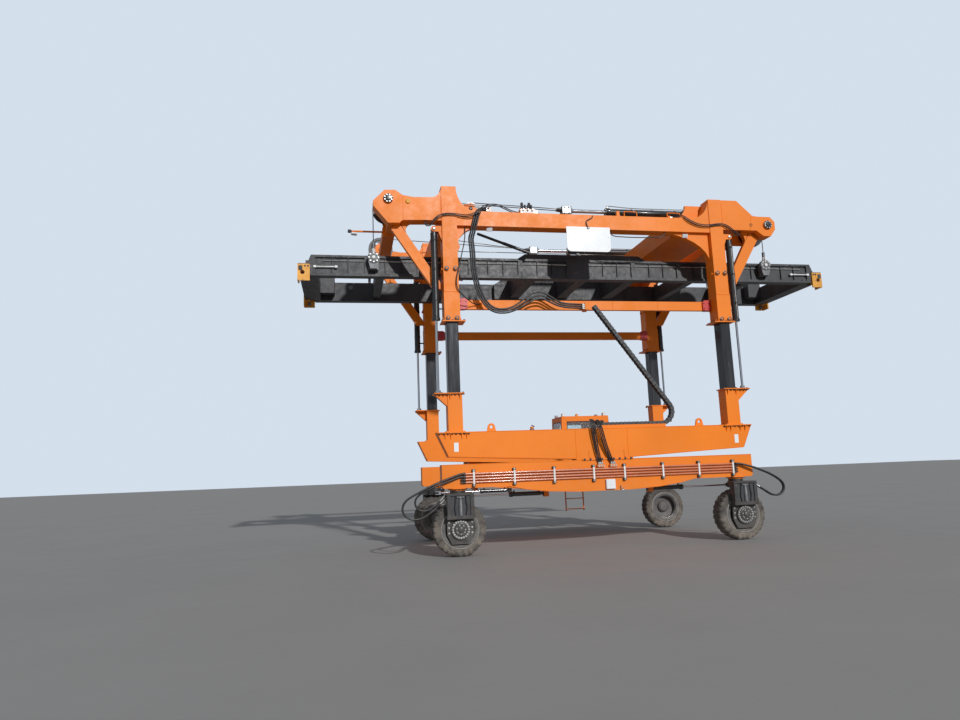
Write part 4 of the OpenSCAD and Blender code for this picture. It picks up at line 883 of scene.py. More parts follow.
# %% Routes on the portal
main_route = [
    (-2150, 1880, 7070), (-2195, 1882, 7074), (-2245, 1893, 7074), (-2298, 1916, 7062),
    (-2348, 1950, 7034), (-2390, 1988, 6990), (-2422, 2020, 6934), (-2446, 2040, 6868),
    (-2466, 2048, 6792), (-2488, 2048, 6710), (-2514, 2042, 6618), (-2540, 2028, 6515),
    (-2570, 2000, 6400), (-2562, 1990, 6270), (-2550, 1980, 6130), (-2542, 1970, 5960),
    (-2533, 1965, 5790), (-2515, 1960, 5630), (-2485, 1955, 5480), (-2440, 1950, 5320),
    (-2375, 1950, 5160), (-2300, 1950, 5035), (-2200, 1950, 4935), (-2070, 1950, 4878),
    (-1930, 1950, 4870), (-1790, 1950, 4895), (-1660, 1950, 4950), (-1535, 1950, 5025),
    (-1420, 1950, 5100), (-1310, 1950, 5165), (-1180, 1950, 5205), (-1050, 1950, 5195),
    (-930, 1950, 5135), (-820, 1950, 5070), (-700, 1950, 5020), (-560, 1950, 4995),
    (-400, 1945, 4987), (-270, 1928, 4985), (-185, 1920, 4985), (-160, 1920, 4985)]
leg_route = [
    (-2680, 1930, 6679.6), (-2680, 1930, 6655), (-2682, 1939, 6600), (-2690, 1965, 6500),
    (-2705, 2000, 6390), (-2730, 2035, 6270), (-2760, 2055, 6150), (-2790, 2062, 6030),
    (-2820, 2065, 5900), (-2850, 2065, 5770), (-2885, 2065, 5640), (-2910, 2065, 5520),
    (-2915, 2065, 5400), (-2885, 2055, 5290), (-2810, 2035, 5200), (-2725, 2000, 5130),
    (-2650, 1945, 5090), (-2590, 1880, 5068), (-2540, 1825, 5056), (-2490, 1790, 5051),
    (-2445, 1777, 5050), (-2425, 1775, 5050), (-2400.4, 1775, 5050)
]
left_route = [
    (-3520, 1940, 6774.9), (-3520, 1940, 6750), (-3514, 1946, 6705), (-3494, 1966, 6668),
    (-3456, 1994, 6648), (-3412, 2018, 6656), (-3370, 2034, 6692), (-3328, 2043, 6745),
    (-3280, 2045, 6796), (-3215, 2045, 6842), (-3130, 2045, 6872), (-3010, 2045, 6885),
    (-2890, 2045, 6880), (-2770, 2047, 6865), (-2650, 2060, 6855), (-2560, 2085, 6868),
    (-2470, 2092, 6905), (-2390, 2088, 6965), (-2320, 2070, 7030), (-2250, 2030, 7085),
    (-2170, 1980, 7130), (-2080, 1935, 7160), (-1980, 1905, 7170), (-1880, 1890, 7150),
    (-1780, 1880, 7108), (-1680, 1870, 7068), (-1590, 1865, 7040), (-1530, 1860, 7028),
    (-1470, 1860, 7023)
]
right_route = [
    (1980.4, 1885, 7023), (2005, 1887, 7023), (2058, 1900, 7027), (2120, 1935, 7032),
    (2185, 1985, 7030), (2230, 2015, 7012), (2270, 2035, 6975), (2340, 2042, 6925), (2420, 2045, 6880),
    (2520, 2045, 6840), (2630, 2045, 6815), (2750, 2045, 6808), (2870, 2045, 6815), (2990, 2045, 6835),
    (3110, 2045, 6845), (3220, 2045, 6825), (3310, 2040, 6778), (3380, 2032, 6728), (3440, 2018, 6682),
    (3500, 1990, 6652), (3560, 1955, 6645), (3612, 1924, 6662), (3645, 1906, 6696), (3660, 1900, 6735),
    (3660, 1900, 6759.6)
]
slack_route = [
    (550, 1900, 6679.6), (550, 1900, 6655), (562, 1900, 6616), (592, 1903, 6584), (645, 1908, 6565),
    (720, 1912, 6556), (820, 1916, 6552), (930, 1918, 6547), (1050, 1920, 6545), (1180, 1920, 6546),
    (1310, 1920, 6549), (1440, 1918, 6555), (1560, 1916, 6563), (1655, 1916, 6568), (1720, 1922, 6582),
    (1768, 1927, 6612), (1793, 1930, 6645), (1800, 1930, 6662), (1800, 1930, 6679.6)
]

# %% Wheel motor hoses of the near side, from the rocker to the knuckles' motors
for name, end, route, which, outward_by, start, finish_at in (
    ("nl_a", -1, loop_large, 0, 0.0, (4.110, 1.004), (3.948, 0.730)),
    ("nl_b", -1, loop_small, 1, 0.0, (3.880, 1.050), (3.710, 0.900)),
    ("nl_c", -1, loop_large, 0, 0.042, (4.110, 1.004), (3.948, 0.730)),
    ("nr_a", 1, loop_single, 1, 0.0, (3.912, 1.025), (3.715, 0.892)),
    ("nr_b", 1, loop_single, 1, 0.042, (3.912, 1.025), (3.715, 0.892)),
):
    end_line = [port(PORT_Z[which], out) for out in (0.12, 0.06, 0.0, -0.06, -0.12, -0.17)]
    points = on_near_side(list(route) + end_line) - (0, outward_by, 0)
    points[:, 0] = end * (points[:, 0] + WHEEL_X)
    bends = ("near_chassis", f"knuckle_{name[:2]}",
             *[(end * x, Y(2.13), z) for x, z in (start, finish_at)])
    hose(f"wheel_hose_{name}", points, WHEEL_HOSE_R, None, bends=bends)
    stub = on_near_side([port(PORT_Z[which], out) for out in (-0.18, -0.09, -0.0006)])
    stub = stub * (end, 1, 1) - (0, outward_by, 0) + (end * WHEEL_X, 0, 0)
    piece(f"hose_stub_{name}", tube(stub, 0.022, 12), f"knuckle_{name[:2]}", ZINC)

# %% Hoses of the chain and of the portal
def fanned(route, k, way):
    """A chain hose's k-th neighbour: above it where it leaves the chain, and beside it from the arch on."""
    p = on_near_side(route)
    share = np.clip(np.linspace(0, 3, len(p)), 0, 1)[:, None]
    return p + k * (share * (way * 0.034, 0, 0) + (1 - share) * (0, 0, 0.030))


for letter, route, k, way in (
    ("a", chain_loop_a, 0, -1), ("b", chain_loop_b, 0, 1), ("c", chain_loop_a, 1, -1),
    ("d", chain_loop_b, 1, 1), ("e", chain_loop_a, 2, -1), ("f", chain_loop_b, 2, 1),
):
    hose(f"chain_hose_{letter}", fanned(route, k, way), CHAIN_HOSE_R, "near_chassis")
end_plate = brick((0.052, Y(1.955), 2.410), (0.068, Y(1.847), 2.570), 0.004)
piece("chain_end_plate", end_plate, "near_chassis", KNUCKLE)


def beside(route, k, gap=42, more=30):
    """A route moved sideways in its plane by k gaps (mm), and by more over the main hoses' hump."""
    p = np.array(route, float)
    before = np.vstack([p[:1], p[:-1]])
    after = np.vstack([p[1:], p[-1:]])
    n = np.column_stack([before[:, 2] - after[:, 2], np.zeros(len(p)), after[:, 0] - before[:, 0]])
    n /= np.linalg.norm(n, axis=1)[:, None]
    spread = gap + more * np.maximum(0, 1 - np.abs(p[:, 0] + 1200) / 500)
    return p + k * spread[:, None] * n


for k, letter in ((-1, "a"), (0, "b"), (1, "c")):
    hose(f"main_hose_{letter}", on_near_side(beside(main_route, k)), MAIN_HOSE_R, "portal")
for name, route in (("leg_hose", leg_route), ("left_hose_a", left_route),
                    ("left_hose_b", beside(left_route, 1, 32, 0)),
                    ("right_hose_a", right_route), ("right_hose_b", beside(right_route, 1, 32, 0)),
                    ("slack_hose", slack_route)):
    hose(name, on_near_side(route), THIN_HOSE_R, "portal")
print(lengths)

# %% [markdown]
# ## Brackets and lift cylinders
# A corner sheave turns in a round bracket at each end of the upper beam. Its pin is held by a
# black hub cap with a ring of bolts. The lift cylinders hang beside the columns, each with a
# steel pipe in two bands down its front.

# %% Hub caps, bosses and seams of the brackets
def ring_of(count, radius, x, y, z, start=0.0):
    """Places on a circle in a plane of constant Y."""
    a = start + np.arange(count) * 2 * np.pi / count
    return np.stack(np.broadcast_arrays(x + radius * np.cos(a), y, z + radius * np.sin(a)), 1)


CAP_D = BRACKET_OUT + 0.030
cap = lathe([(0, 0.098), (0.010, 0.098), (0.016, 0.090), (0.018, 0.058), (0.038, 0.054), (0.046, 0.046),
             (0.048, 0.02)], 32)
hubs = (HUB_LEFT, HUB_RIGHT)
on_sides("hub_caps", at(cap, [(x, Y(CAP_D), z) for x, z in hubs], OUT), PORTAL, BLACK, "black_paint")
cap_bolts = join(*[at(bolt(0.020), ring_of(8, 0.075, x, Y(CAP_D + 0.017), z, 0.39), OUT)
                   for x, z in hubs])
on_sides("hub_cap_bolts", cap_bolts, PORTAL, ZINC)
boss = lathe([(0, 0.052), (0.020, 0.052), (0.026, 0.044), (0.028, 0.020), (0.018, 0.018),
              (0.018, 0.004)], 24)
on_sides("bracket_boss", at(boss, (-3.861, Y(BRACKET_OUT), 7.169), OUT), PORTAL, CORNER)
hole_rim = at(torus(0.030, 0.007, 20, 8), (3.884, Y(BRACKET_OUT), 6.885), OUT)
on_sides("bracket_hole_rim", hole_rim, PORTAL, DARK_BOLT)


def bead(points, radius=0.005):
    """A weld seam along a polyline."""
    return tube(smooth_path(points, 0.08), radius, 6)


face = Y(BRACKET_OUT + 0.001)
seams = join(bead([(-3.968, face, 6.77), (-3.966, face, 7.0), (-3.964, face, 7.28)]),
             bead([(3.86, face, 6.76), (3.90, face, 7.08)]),
             bead([(-3.19, face, 6.80), (-3.19, face, 7.05), (-3.19, face, 7.30)]),
             bead([(3.19, face, 6.78), (3.19, face, 7.05), (3.19, face, 7.38)]))
on_sides("bracket_seams", seams, PORTAL, ORANGE, "machine_orange")
print(made[-1])

# %% Lift cylinders: glands, bands, pipes, pins and the bolted feet of the rods
LIFT_X, LIFT_D, BARREL_Z, BARREL_R = COL_X + 0.32, SIDE_Y + 0.06, FOOT_Z + 0.04, 0.072
BAND_LEVELS = (5.06, 5.72, 6.34)
gland = lathe([(0.002, 0.066), (0.002, 0.084), (0.055, 0.084), (0.060, 0.078), (0.060, 0.070)], 28)
band = lathe([(0, 0.071), (0, 0.077), (0.035, 0.077), (0.035, 0.071)], 28)
cylinders = join(at(gland, (LIFT_X, Y(LIFT_D), BARREL_Z)),
                 at(band, [(LIFT_X, Y(LIFT_D), z) for z in BAND_LEVELS]))
on_sides("lift_glands", both_ends(cylinders), PORTAL, BLACK, "black_paint")
front = Y(LIFT_D + BARREL_R + 0.014)
pipe = tube(smooth_path([(LIFT_X, Y(LIFT_D + 0.070), 4.725), (LIFT_X, front - 0.004, 4.733),
                         (LIFT_X, front, 4.78), (LIFT_X, front, 5.2), (LIFT_X, front, 5.9),
                         (LIFT_X, front, 6.36), (LIFT_X, front + 0.005, 6.42),
                         (LIFT_X - 0.015, Y(LIFT_D + 0.05), 6.455)], 0.05), 0.010, 8)
pins = at(lathe([(0, 0.034), (0.012, 0.034), (0.016, 0.028), (0.018, 0.01)], 20),
          (LIFT_X, Y(LIFT_D + 0.070), EAR_Z), OUT)
on_sides("lift_pipes", both_ends(join(pipe, pins)), PORTAL, ZINC)
clips = join(*[brick((LIFT_X - 0.018, Y(LIFT_D + 0.060), z),
                     (LIFT_X + 0.018, front - 0.014, z + 0.035), 0.003) for z in BAND_LEVELS])
on_sides("lift_clips", both_ends(clips), PORTAL, TRIM)
foot_places = [(LIFT_X + dx, Y(LIFT_D + dd), STUB_TOP)
               for dx in (-0.062, 0.062) for dd in (-0.062, 0.062)]
on_sides("rod_foot_bolts", both_ends(at(bolt(0.030), foot_places)), CHASSIS, DARK_BOLT)
print(made[-1])

# %% [markdown]
# ## The drag chain
# The chain carries hoses from the chassis to the portal. Each link has two side plates with pin
# heads, and bars across. The lower run lies on the box beam and the upper run rises to the tie
# bar, and the chain is one mesh that rides on no body.

# %% Links along the chain's line
LINK_L, LINK_H, CHAIN_W, CHAIN_R, SLOPE = 0.092, 0.078, 0.120, 0.250, np.radians(126)
CHAIN_D, BEND_X, CHAIN_Z = SIDE_Y + 0.05, 1.388, BEAM_TOP + 0.040 + 0.039


def chain_line():
    """(x, z, angle) of each link: a level run, an arc of 126 degrees, and a straight rise."""
    level = [(BEND_X - i * LINK_L, CHAIN_Z, 0.0) for i in range(15)]
    count = round(SLOPE * CHAIN_R / LINK_L)
    top = CHAIN_Z + CHAIN_R
    arc = [(BEND_X + CHAIN_R * np.sin(a), top - CHAIN_R * np.cos(a), a)
           for a in SLOPE * np.arange(1, count) / count]
    x0, z0 = BEND_X + CHAIN_R * np.sin(SLOPE), top - CHAIN_R * np.cos(SLOPE)
    rise = int((FOOT_Z + 0.385 - z0) / np.sin(SLOPE) / LINK_L)
    straight = [(x0 + i * LINK_L * np.cos(SLOPE), z0 + i * LINK_L * np.sin(SLOPE), SLOPE)
                for i in range(rise + 1)]
    return level + arc + straight


def link_shape():
    """One link about its middle: side plates with round ends, bars across and pins; X along it."""
    t = np.radians(np.linspace(-90, 90, 7))
    half, r = LINK_L / 2 - 0.016, LINK_H / 2
    right_end = [(half + r * 0.62 * np.cos(a), r * np.sin(a)) for a in t]
    left_end = [(-half - r * 0.62 * np.cos(a), r * np.sin(a)) for a in t[::-1]]
    side, side_faces = plate(right_end + left_end, -0.006, 0.006, 0.002)
    turned = (np.column_stack([side[:, 0], -side[:, 2], side[:, 1]]), side_faces)
    sides = at(turned, [(0, CHAIN_W / 2 - 0.002, 0), (0, 0.002 - CHAIN_W / 2, 0)])
    bars = join(*[brick((-0.013, -CHAIN_W / 2, s * r - 0.004), (0.013, CHAIN_W / 2, s * r + 0.004),
                        0.002) for s in (-1, 1)],
                *[brick((x - 0.006, -CHAIN_W / 2, s * r * 0.7 - 0.004),
                        (x + 0.006, CHAIN_W / 2, s * r * 0.7 + 0.004), 0.002)
                  for s in (-1, 1) for x in (-0.036, 0.036)])
    pin = join(*[at(lathe([(0, 0.014), (0.004, 0.014), (0.006, 0.010), (0.006, 0.003)], 12),
                    (x, s * (CHAIN_W / 2 + 0.003), 0), (0, s, 0))
                 for x in (-0.030, 0.030) for s in (-1, 1)])
    return join(sides, bars, pin)


# %% The chain as one mesh, and its tray
line = chain_line()
link = link_shape()
links = join(*[at(link, (x, Y(CHAIN_D), z), (-np.sin(a), 0, np.cos(a)), (np.cos(a), 0, np.sin(a)))
               for x, z, a in line])
fill_path = smooth_path([(x, Y(CHAIN_D), z) for x, z, a in line], 0.05)
core = join(*[tube(fill_path + [0, off, 0], 0.017, 8) for off in (-0.036, 0.0, 0.036)])
for name, shape, material in (("chain_links", links, CHAIN), ("chain_core", core, TRIM)):
    obj = piece(name, shape, None, material, "chain_plastic")
    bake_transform(obj)
    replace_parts(obj, "drag_chain")
tray = join(*[brick((0.02, Y(CHAIN_D + d0), BEAM_TOP), (1.448, Y(CHAIN_D + d1), BEAM_TOP + h), 0.002)
              for d0, d1, h in ((0.075, 0.071, 0.062), (-0.075, -0.071, 0.062),
                                (0.073, -0.073, 0.036))])
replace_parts(piece("chain_tray", tray, "near_chassis", ORANGE, "machine_orange"), "drag_chain")
print(len(line), "links", made[-3:])

# %% [markdown]
# ## The hoist
# Ropes run up from the spreader's blocks, over the corner sheaves, and along the top to the
# crossheads of two long cylinders. A wire rope is six strands wound round each other: each
# strand's middle is a helix about the rope's line.

# %% Ropes of six strands: the falls, and the ropes along the top
def rope(start, end, radius=ROPE_R, pitch=0.16, per_turn=12):
    """Six strands, each a helix of radius 0.62 r about the straight line between two places."""
    start, end = np.array(start, float), np.array(end, float)
    length = np.linalg.norm(end - start)
    t = np.linspace(0, 1, max(4, int(length / pitch * per_turn)))[:, None]
    axes = axes_for(end - start)
    strands = []
    for k in range(6):
        a = 2 * np.pi * (t * length / pitch + k / 6)
        middle = start + t * (end - start) + 0.62 * radius * (np.cos(a) * axes[0] + np.sin(a) * axes[1])
        strands.append(tube(middle, 0.40 * radius, 5))
    return join(*strands)


FALL_X = {"left": HUB_LEFT[0] - SHEAVE_R, "right": HUB_RIGHT[0] + SHEAVE_R}
FALL_TOP = {"left": HUB_LEFT[1], "right": HUB_RIGHT[1]}
for which, x in FALL_X.items():
    for side, word in ((NEAR, "near"), (FAR, "far")):
        y = y_at(side, FALL_Y)
        obj = piece(f"fall_{which}_{word}", rope((x, y, SIDE_TOP + 0.20), (x, y, FALL_TOP[which])), None,
                    ROPE, "wire_rope")
        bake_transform(obj)
        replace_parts(obj, f"falls_{which}")
HEAD_X = -0.38
TURN_X, TURN_D, TURN_Z, TURN_R = -2.42, 1.26, 7.33, 0.15
for side, word in ((NEAR, "near"), (FAR, "far")):
    left = rope((HUB_LEFT[0], y_at(side, FALL_Y), HUB_LEFT[1] + SHEAVE_R),
                (HEAD_X - 0.12, y_at(side, 1.37), HOIST_Z + 0.02))
    turned = rope((TURN_X, y_at(side, TURN_D), TURN_Z + TURN_R),
                  (HEAD_X - 0.12, y_at(side, 1.45), HOIST_Z + 0.03))
    for name, shape, start_x in (("top_rope_left", left, HUB_LEFT[0]),
                                 ("top_rope_right", turned, TURN_X)):
        obj = piece(f"{name}_{word}", shape, None, ROPE, "wire_rope")
        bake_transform(obj)
cross_rope = rope((HUB_RIGHT[0], Y(FALL_Y), HUB_RIGHT[1] + SHEAVE_R),
                  (TURN_X, Y(TURN_D), TURN_Z - TURN_R))
on_sides("top_rope_cross", cross_rope, PORTAL, ROPE, "wire_rope")


# %% Ropes in the sheaves' grooves, and the turning sheaves
def wrap(x, y, z, radius, start, end):
    """A rope lying in a sheave's groove from one angle to another."""
    a = np.radians(np.linspace(start, end, 20))
    return tube(np.stack(np.broadcast_arrays(x + radius * np.cos(a), y, z + radius * np.sin(a)), 1),
                ROPE_R, 8)


wraps = join(wrap(HUB_LEFT[0], Y(FALL_Y), HUB_LEFT[1], SHEAVE_R, 180, 88),
             wrap(HUB_RIGHT[0], Y(FALL_Y), HUB_RIGHT[1], SHEAVE_R, 0, 90),
             wrap(TURN_X, Y(TURN_D), TURN_Z, TURN_R, 88, 272))
on_sides("rope_wraps", wraps, PORTAL, ROPE, "wire_rope")
wheel = lathe([(-0.020, 0.05), (-0.020, 0.160), (-0.010, 0.163), (-0.004, 0.142), (0.004, 0.142),
               (0.010, 0.163), (0.020, 0.160), (0.020, 0.05)], 40)
cheek_outline = [(-2.99, 7.07), (-2.30, 7.20), (-2.26, 7.30), (-2.30, 7.42), (-2.42, 7.46),
                 (-2.56, 7.42), (-3.05, 7.12), (-3.05, 7.07)]
turn_pin = lathe([(-0.05, 0.04), (0.05, 0.04), (0.055, 0.03)], 20)
turner = join(*[at(shape, (TURN_X, Y(TURN_D), TURN_Z), OUT) for shape in (wheel, turn_pin)])
on_sides("turning_sheaves", turner, PORTAL, BLACK, "black_paint")
cheeks = join(profile(cheek_outline, TURN_D + 0.026, TURN_D + 0.036),
              profile(cheek_outline, TURN_D - 0.036, TURN_D - 0.026))
on_sides("turning_cheeks", cheeks, PORTAL, ORANGE, "machine_orange")
print(made[-3:])

# %% Crossheads, sockets and the hoist cylinders' fittings
socket = lathe([(0, 0.016), (0.02, 0.024), (0.10, 0.034), (0.12, 0.034), (0.122, 0.02)], 16)
top_bolts = [(HEAD_X + u, Y(HOIST_Y + dd), 7.375) for u in (0.05, 0.15) for dd in (-0.05, 0.05)]
side_bolts = [(HEAD_X + u, Y(1.495), z) for u in (0.05, 0.15) for z in (7.25, 7.35)]
collar = lathe([(0, 0.060), (0.04, 0.060), (0.05, 0.052), (0.052, 0.045)], 24)
head = join(at(socket, [(HEAD_X - 0.122, Y(1.37), HOIST_Z + 0.02),
                        (HEAD_X - 0.122, Y(1.45), HOIST_Z + 0.03)], (1, 0, 0)),
            brick((HEAD_X - 0.012, Y(1.335), 7.215), (HEAD_X + 0.012, Y(1.505), 7.385)),
            brick((HEAD_X + 0.188, Y(1.335), 7.215), (HEAD_X + 0.212, Y(1.505), 7.385)),
            at(collar, (HEAD_X + 0.20, Y(HOIST_Y), HOIST_Z), (1, 0, 0)),
            at(bolt(0.030), top_bolts), at(bolt(0.026), side_bolts, OUT))
on_sides("crossheads", head, HOIST_RODS, CAST, "cast_grey")
GLAND_X, FOOT_X = 0.65, 2.64
hoist_gland = lathe([(0, 0.050), (0, 0.088), (0.010, 0.094), (0.090, 0.094), (0.096, 0.088),
                     (0.096, 0.078)], 32)
foot_band = lathe([(0, 0.078), (0.005, 0.090), (0.060, 0.090), (0.065, 0.078)], 32)
thin_band = lathe([(0, 0.079), (0.002, 0.084), (0.038, 0.084), (0.040, 0.079)], 32)
ends = join(at(hoist_gland, (GLAND_X + 0.002, Y(HOIST_Y), HOIST_Z), (1, 0, 0)),
            at(foot_band, (FOOT_X - 0.125, Y(HOIST_Y), HOIST_Z), (1, 0, 0)),
            *[at(thin_band, (x, Y(HOIST_Y), HOIST_Z), (1, 0, 0)) for x in (1.25, 1.75, 2.31)])
on_sides("hoist_bands", ends, PORTAL, BLACK, "black_paint")
top = HOIST_Z + 0.094
feed = join(tube(smooth_path([(GLAND_X + 0.045, Y(1.44), top - 0.01),
                              (GLAND_X + 0.045, Y(1.44), top + 0.03),
                              (GLAND_X + 0.09, Y(1.44), top + 0.045),
                              (1.3, Y(1.44), top + 0.012), (2.0, Y(1.44), top + 0.012),
                              (FOOT_X - 0.20, Y(1.44), top + 0.012),
                              (FOOT_X - 0.12, Y(1.46), top + 0.010),
                              (FOOT_X - 0.09, Y(1.50), top - 0.03)], 0.06), 0.011, 8),
            at(lathe([(0, 0.018), (0.03, 0.018), (0.032, 0.012)], 6),
               (GLAND_X + 0.045, Y(1.44), top - 0.004)))
on_sides("hoist_pipes", feed, PORTAL, ZINC)
gland_bolts = [(GLAND_X + 0.002, Y(HOIST_Y) + 0.072 * np.cos(t), HOIST_Z + 0.072 * np.sin(t))
               for t in np.radians(np.arange(15, 360, 45))]
on_sides("gland_bolts", at(bolt(0.018), gland_bolts, (-1, 0, 0)), PORTAL, ZINC)
print(made[-4:])

# %% Valve block and hose ends on the near upper beam
TOP = UPPER_TOP
coil = lathe([(0, 0.024), (0.085, 0.024), (0.090, 0.018), (0.100, 0.018), (0.104, 0.012)], 14)
spool = lathe([(0, 0.030), (0.16, 0.030), (0.17, 0.022)], 16)
valves = join(*[at(coil, (x, Y(1.885), TOP + 0.12)) for x in (-1.42, -1.35, -1.28, -1.21)],
              *[at(spool, (x, Y(1.825), TOP + 0.12)) for x in (-1.40, -1.24)],
              brick((-1.45, Y(1.80), TOP + 0.118), (-1.15, Y(1.915), TOP + 0.132)))
piece("valve_coils", valves, "portal", TRIM)
face_plate = join(brick((-1.458, Y(1.925), TOP + 0.012), (-1.142, Y(1.931), TOP + 0.108), 0.002),
                  brick((-2.146, Y(1.925), TOP + 0.02), (-2.094, Y(1.930), TOP + 0.14), 0.002))
piece("valve_plate", face_plate, "portal", STRAP)
nut = lathe([(0, 0.024), (0.022, 0.026), (0.026, 0.022), (0.050, 0.022), (0.052, 0.018)], 6)
fittings = join(at(nut, [(-1.13, Y(d), TOP + z) for d in (1.83, 1.88) for z in (0.035, 0.085)],
                   (1, 0, 0)),
                at(lathe([(0, 0.018), (0.05, 0.018), (0.055, 0.012)], 12),
                   [(x, Y(1.925), TOP + 0.09) for x in (-1.40, -1.30, -1.20)], OUT),
                at(bolt(0.022), [(x, Y(1.931), TOP + z) for x in (-1.44, -1.16) for z in (0.03, 0.09)],
                   OUT),
                at(nut, [(1.98, Y(1.89), 7.04)], (1, 0, 0)),
                at(nut, [(-2.15, Y(1.88), 7.070 + z) for z in (-0.042, 0.0, 0.042)], (-1, 0, 0)),
                at(nut, [(-0.16, Y(1.92), 4.985 + z) for z in (-0.042, 0.0, 0.042)], (-1, 0, 0)))
piece("hose_fittings", fittings, "portal", ZINC)

# %% Work lamps
def lamp(x, d, z, toward=(-0.2, -0.9, -0.4)):
    """A flat work lamp: a box with a rim round its lens, on a short arm."""
    body = join(brick((-0.055, -0.036, 0.0), (0.055, 0.036, 0.035), 0.008),
                at(lathe([(-0.06, 0.010), (0, 0.010), (0.004, 0.008)], 10), (0, 0, 0)),
                brick((-0.060, -0.041, 0.030), (0.060, 0.041, 0.042), 0.005))
    glass = brick((-0.048, -0.030, 0.040), (0.048, 0.030, 0.045), 0.003)
    return at(body, (x, Y(d), z), toward, (1, 0, 0)), at(glass, (x, Y(d), z), toward, (1, 0, 0))


lamp_places = [(-2.39, 1.93, 7.14), (-2.15, 1.90, 6.64), (2.29, 1.90, 6.62), (-3.9, 1.30, 6.62),
               (3.7, 1.30, 6.58)]
bodies, lenses = zip(*[lamp(*p) for p in lamp_places])
on_sides("lamp_bodies", join(*bodies), PORTAL, WHITE, "sign_white")
on_sides("lamp_lenses", join(*lenses), PORTAL, LENS)
posts = join(*[tube([(x, Y(d), z + 0.02), (x, Y(d - 0.02), z + 0.10)], 0.010, 8)
               for x, d, z in lamp_places[1:3]],
             tube([(-2.39, Y(1.90), 7.13), (-2.30, Y(1.90), 7.06), (-2.14, Y(1.88), 7.05)], 0.010, 8),
             *[tube([(x, Y(d), z + 0.02), (x, Y(d - 0.06), z + 0.13)], 0.012, 8)
               for x, d, z in lamp_places[3:]])
on_sides("lamp_posts", posts, PORTAL, DARK_BOLT)

# %% The sign's strap, bows on the beams, the lamp arms' ends and an inner stay
strap = tube(smooth_path([(0.12, Y(1.995), 6.985), (0.10, Y(2.012), 6.93), (-0.02, Y(2.016), 6.86),
                          (-0.035, Y(2.018), 6.80), (-0.01, Y(2.016), 6.705)], 0.03), 0.011, 8)
piece("sign_strap", join(strap, at(torus(0.022, 0.006, 20, 8), (0, Y(2.024), 6.70), OUT)), "portal", TRIM)
rivets = at(lathe([(0, 0.010), (0.004, 0.009), (0.006, 0.004)], 10),
            [(x, Y(2.009), z) for x in (-0.45, 0.45) for z in (6.28, 6.50, 6.69)], OUT)
piece("sign_rivets", rivets, "portal", ZINC)
bows = []
for x0, x1 in ((0.92, 1.21), (1.94, 2.24)):
    bow = ((x0, 0), (x0, 0.13), (x0 + 0.03, 0.16), (x1 - 0.03, 0.16), (x1, 0.13), (x1, 0))
    bows.append(tube(smooth_path([(x, Y(1.85), TOP + h) for x, h in bow], 0.03), 0.011, 8))
bows.append(brick((0.72, Y(1.90), TOP), (0.79, Y(1.84), TOP + 0.15)))
on_sides("beam_bows", join(*bows), PORTAL, ORANGE, "machine_orange")
knobs = at(lathe([(0, 0.030), (0.02, 0.038), (0.06, 0.038), (0.08, 0.028), (0.085, 0.01)], 16),
           (-5.085, Y(ARM_D), ARM_Z), (1, 0, 0))
on_sides("arm_knobs", knobs, PORTAL, TRIM)
arm_lamp, arm_glass = lamp(-4.95, ARM_D, ARM_Z - 0.035, (-0.1, -0.3, -0.95))
on_sides("arm_lamps", arm_lamp, PORTAL, WHITE, "sign_white")
on_sides("arm_lenses", arm_glass, PORTAL, LENS)
stay = join(tube([(-2.32, Y(1.40), 6.72), (-1.75, Y(1.40), 6.516), (-1.17, Y(1.40), 6.31)], 0.030, 14),
            tube([(-1.75, Y(1.40), 6.516), (-1.17, Y(1.40), 6.31)], 0.036, 14))
piece("inner_stay", stay, "portal", BLACK, "black_paint")
print(made[-6:])

# %% [markdown]
# ## The spreader
# The spreader's blocks hang in the falls. Each has a round cover, a pin and a wedge socket.
# Rods along the ends turn the locks.

# %% Hook blocks in the falls
BLOCK_Z = SIDE_TOP - 0.09
block_cover = lathe([(0, 0.126), (0.010, 0.126), (0.016, 0.118), (0.016, 0.074), (0.010, 0.070),
                     (0.010, 0.03)], 32)
wedge_socket = lathe([(0, 0.040), (0.012, 0.044), (0.055, 0.038), (0.13, 0.026), (0.20, 0.018),
                      (0.205, 0.013)], 20)
pin_cap = lathe([(0, 0.036), (0.012, 0.036), (0.018, 0.028), (0.018, 0.01)], 20)
shackle = ((0.055, -0.02), (0.060, 0.05), (0.040, 0.10), (0, 0.115), (-0.040, 0.10), (-0.060, 0.05),
           (-0.055, -0.02))
block_parts, block_bright, block_bolts = [], [], []
for x in FALL_X.values():
    for d, way in ((FALL_Y + 0.040, OUT), (FALL_Y - 0.040, AWAY)):
        block_parts.append(at(block_cover, (x, Y(d), BLOCK_Z), way))
        block_bolts.append(at(bolt(0.022), ring_of(8, 0.098, x, Y(d) + way[1] * 0.016, BLOCK_Z), way))
    block_bright.append(at(wedge_socket, (x, Y(FALL_Y), SIDE_TOP + 0.03)))
    bow = smooth_path([(x, Y(FALL_Y + dd), SIDE_TOP + dz) for dd, dz in shackle], 0.03)
    block_bright.append(tube(bow, 0.013, 8))
    block_bright.append(at(pin_cap, (x, Y(FALL_Y + 0.060), BLOCK_Z), OUT))
on_sides("block_covers", join(*block_parts), SPREADER, CAST, "cast_grey")
on_sides("block_sockets", join(*block_bright), SPREADER, STRAP)
on_sides("block_bolts", join(*block_bolts), SPREADER, ZINC)

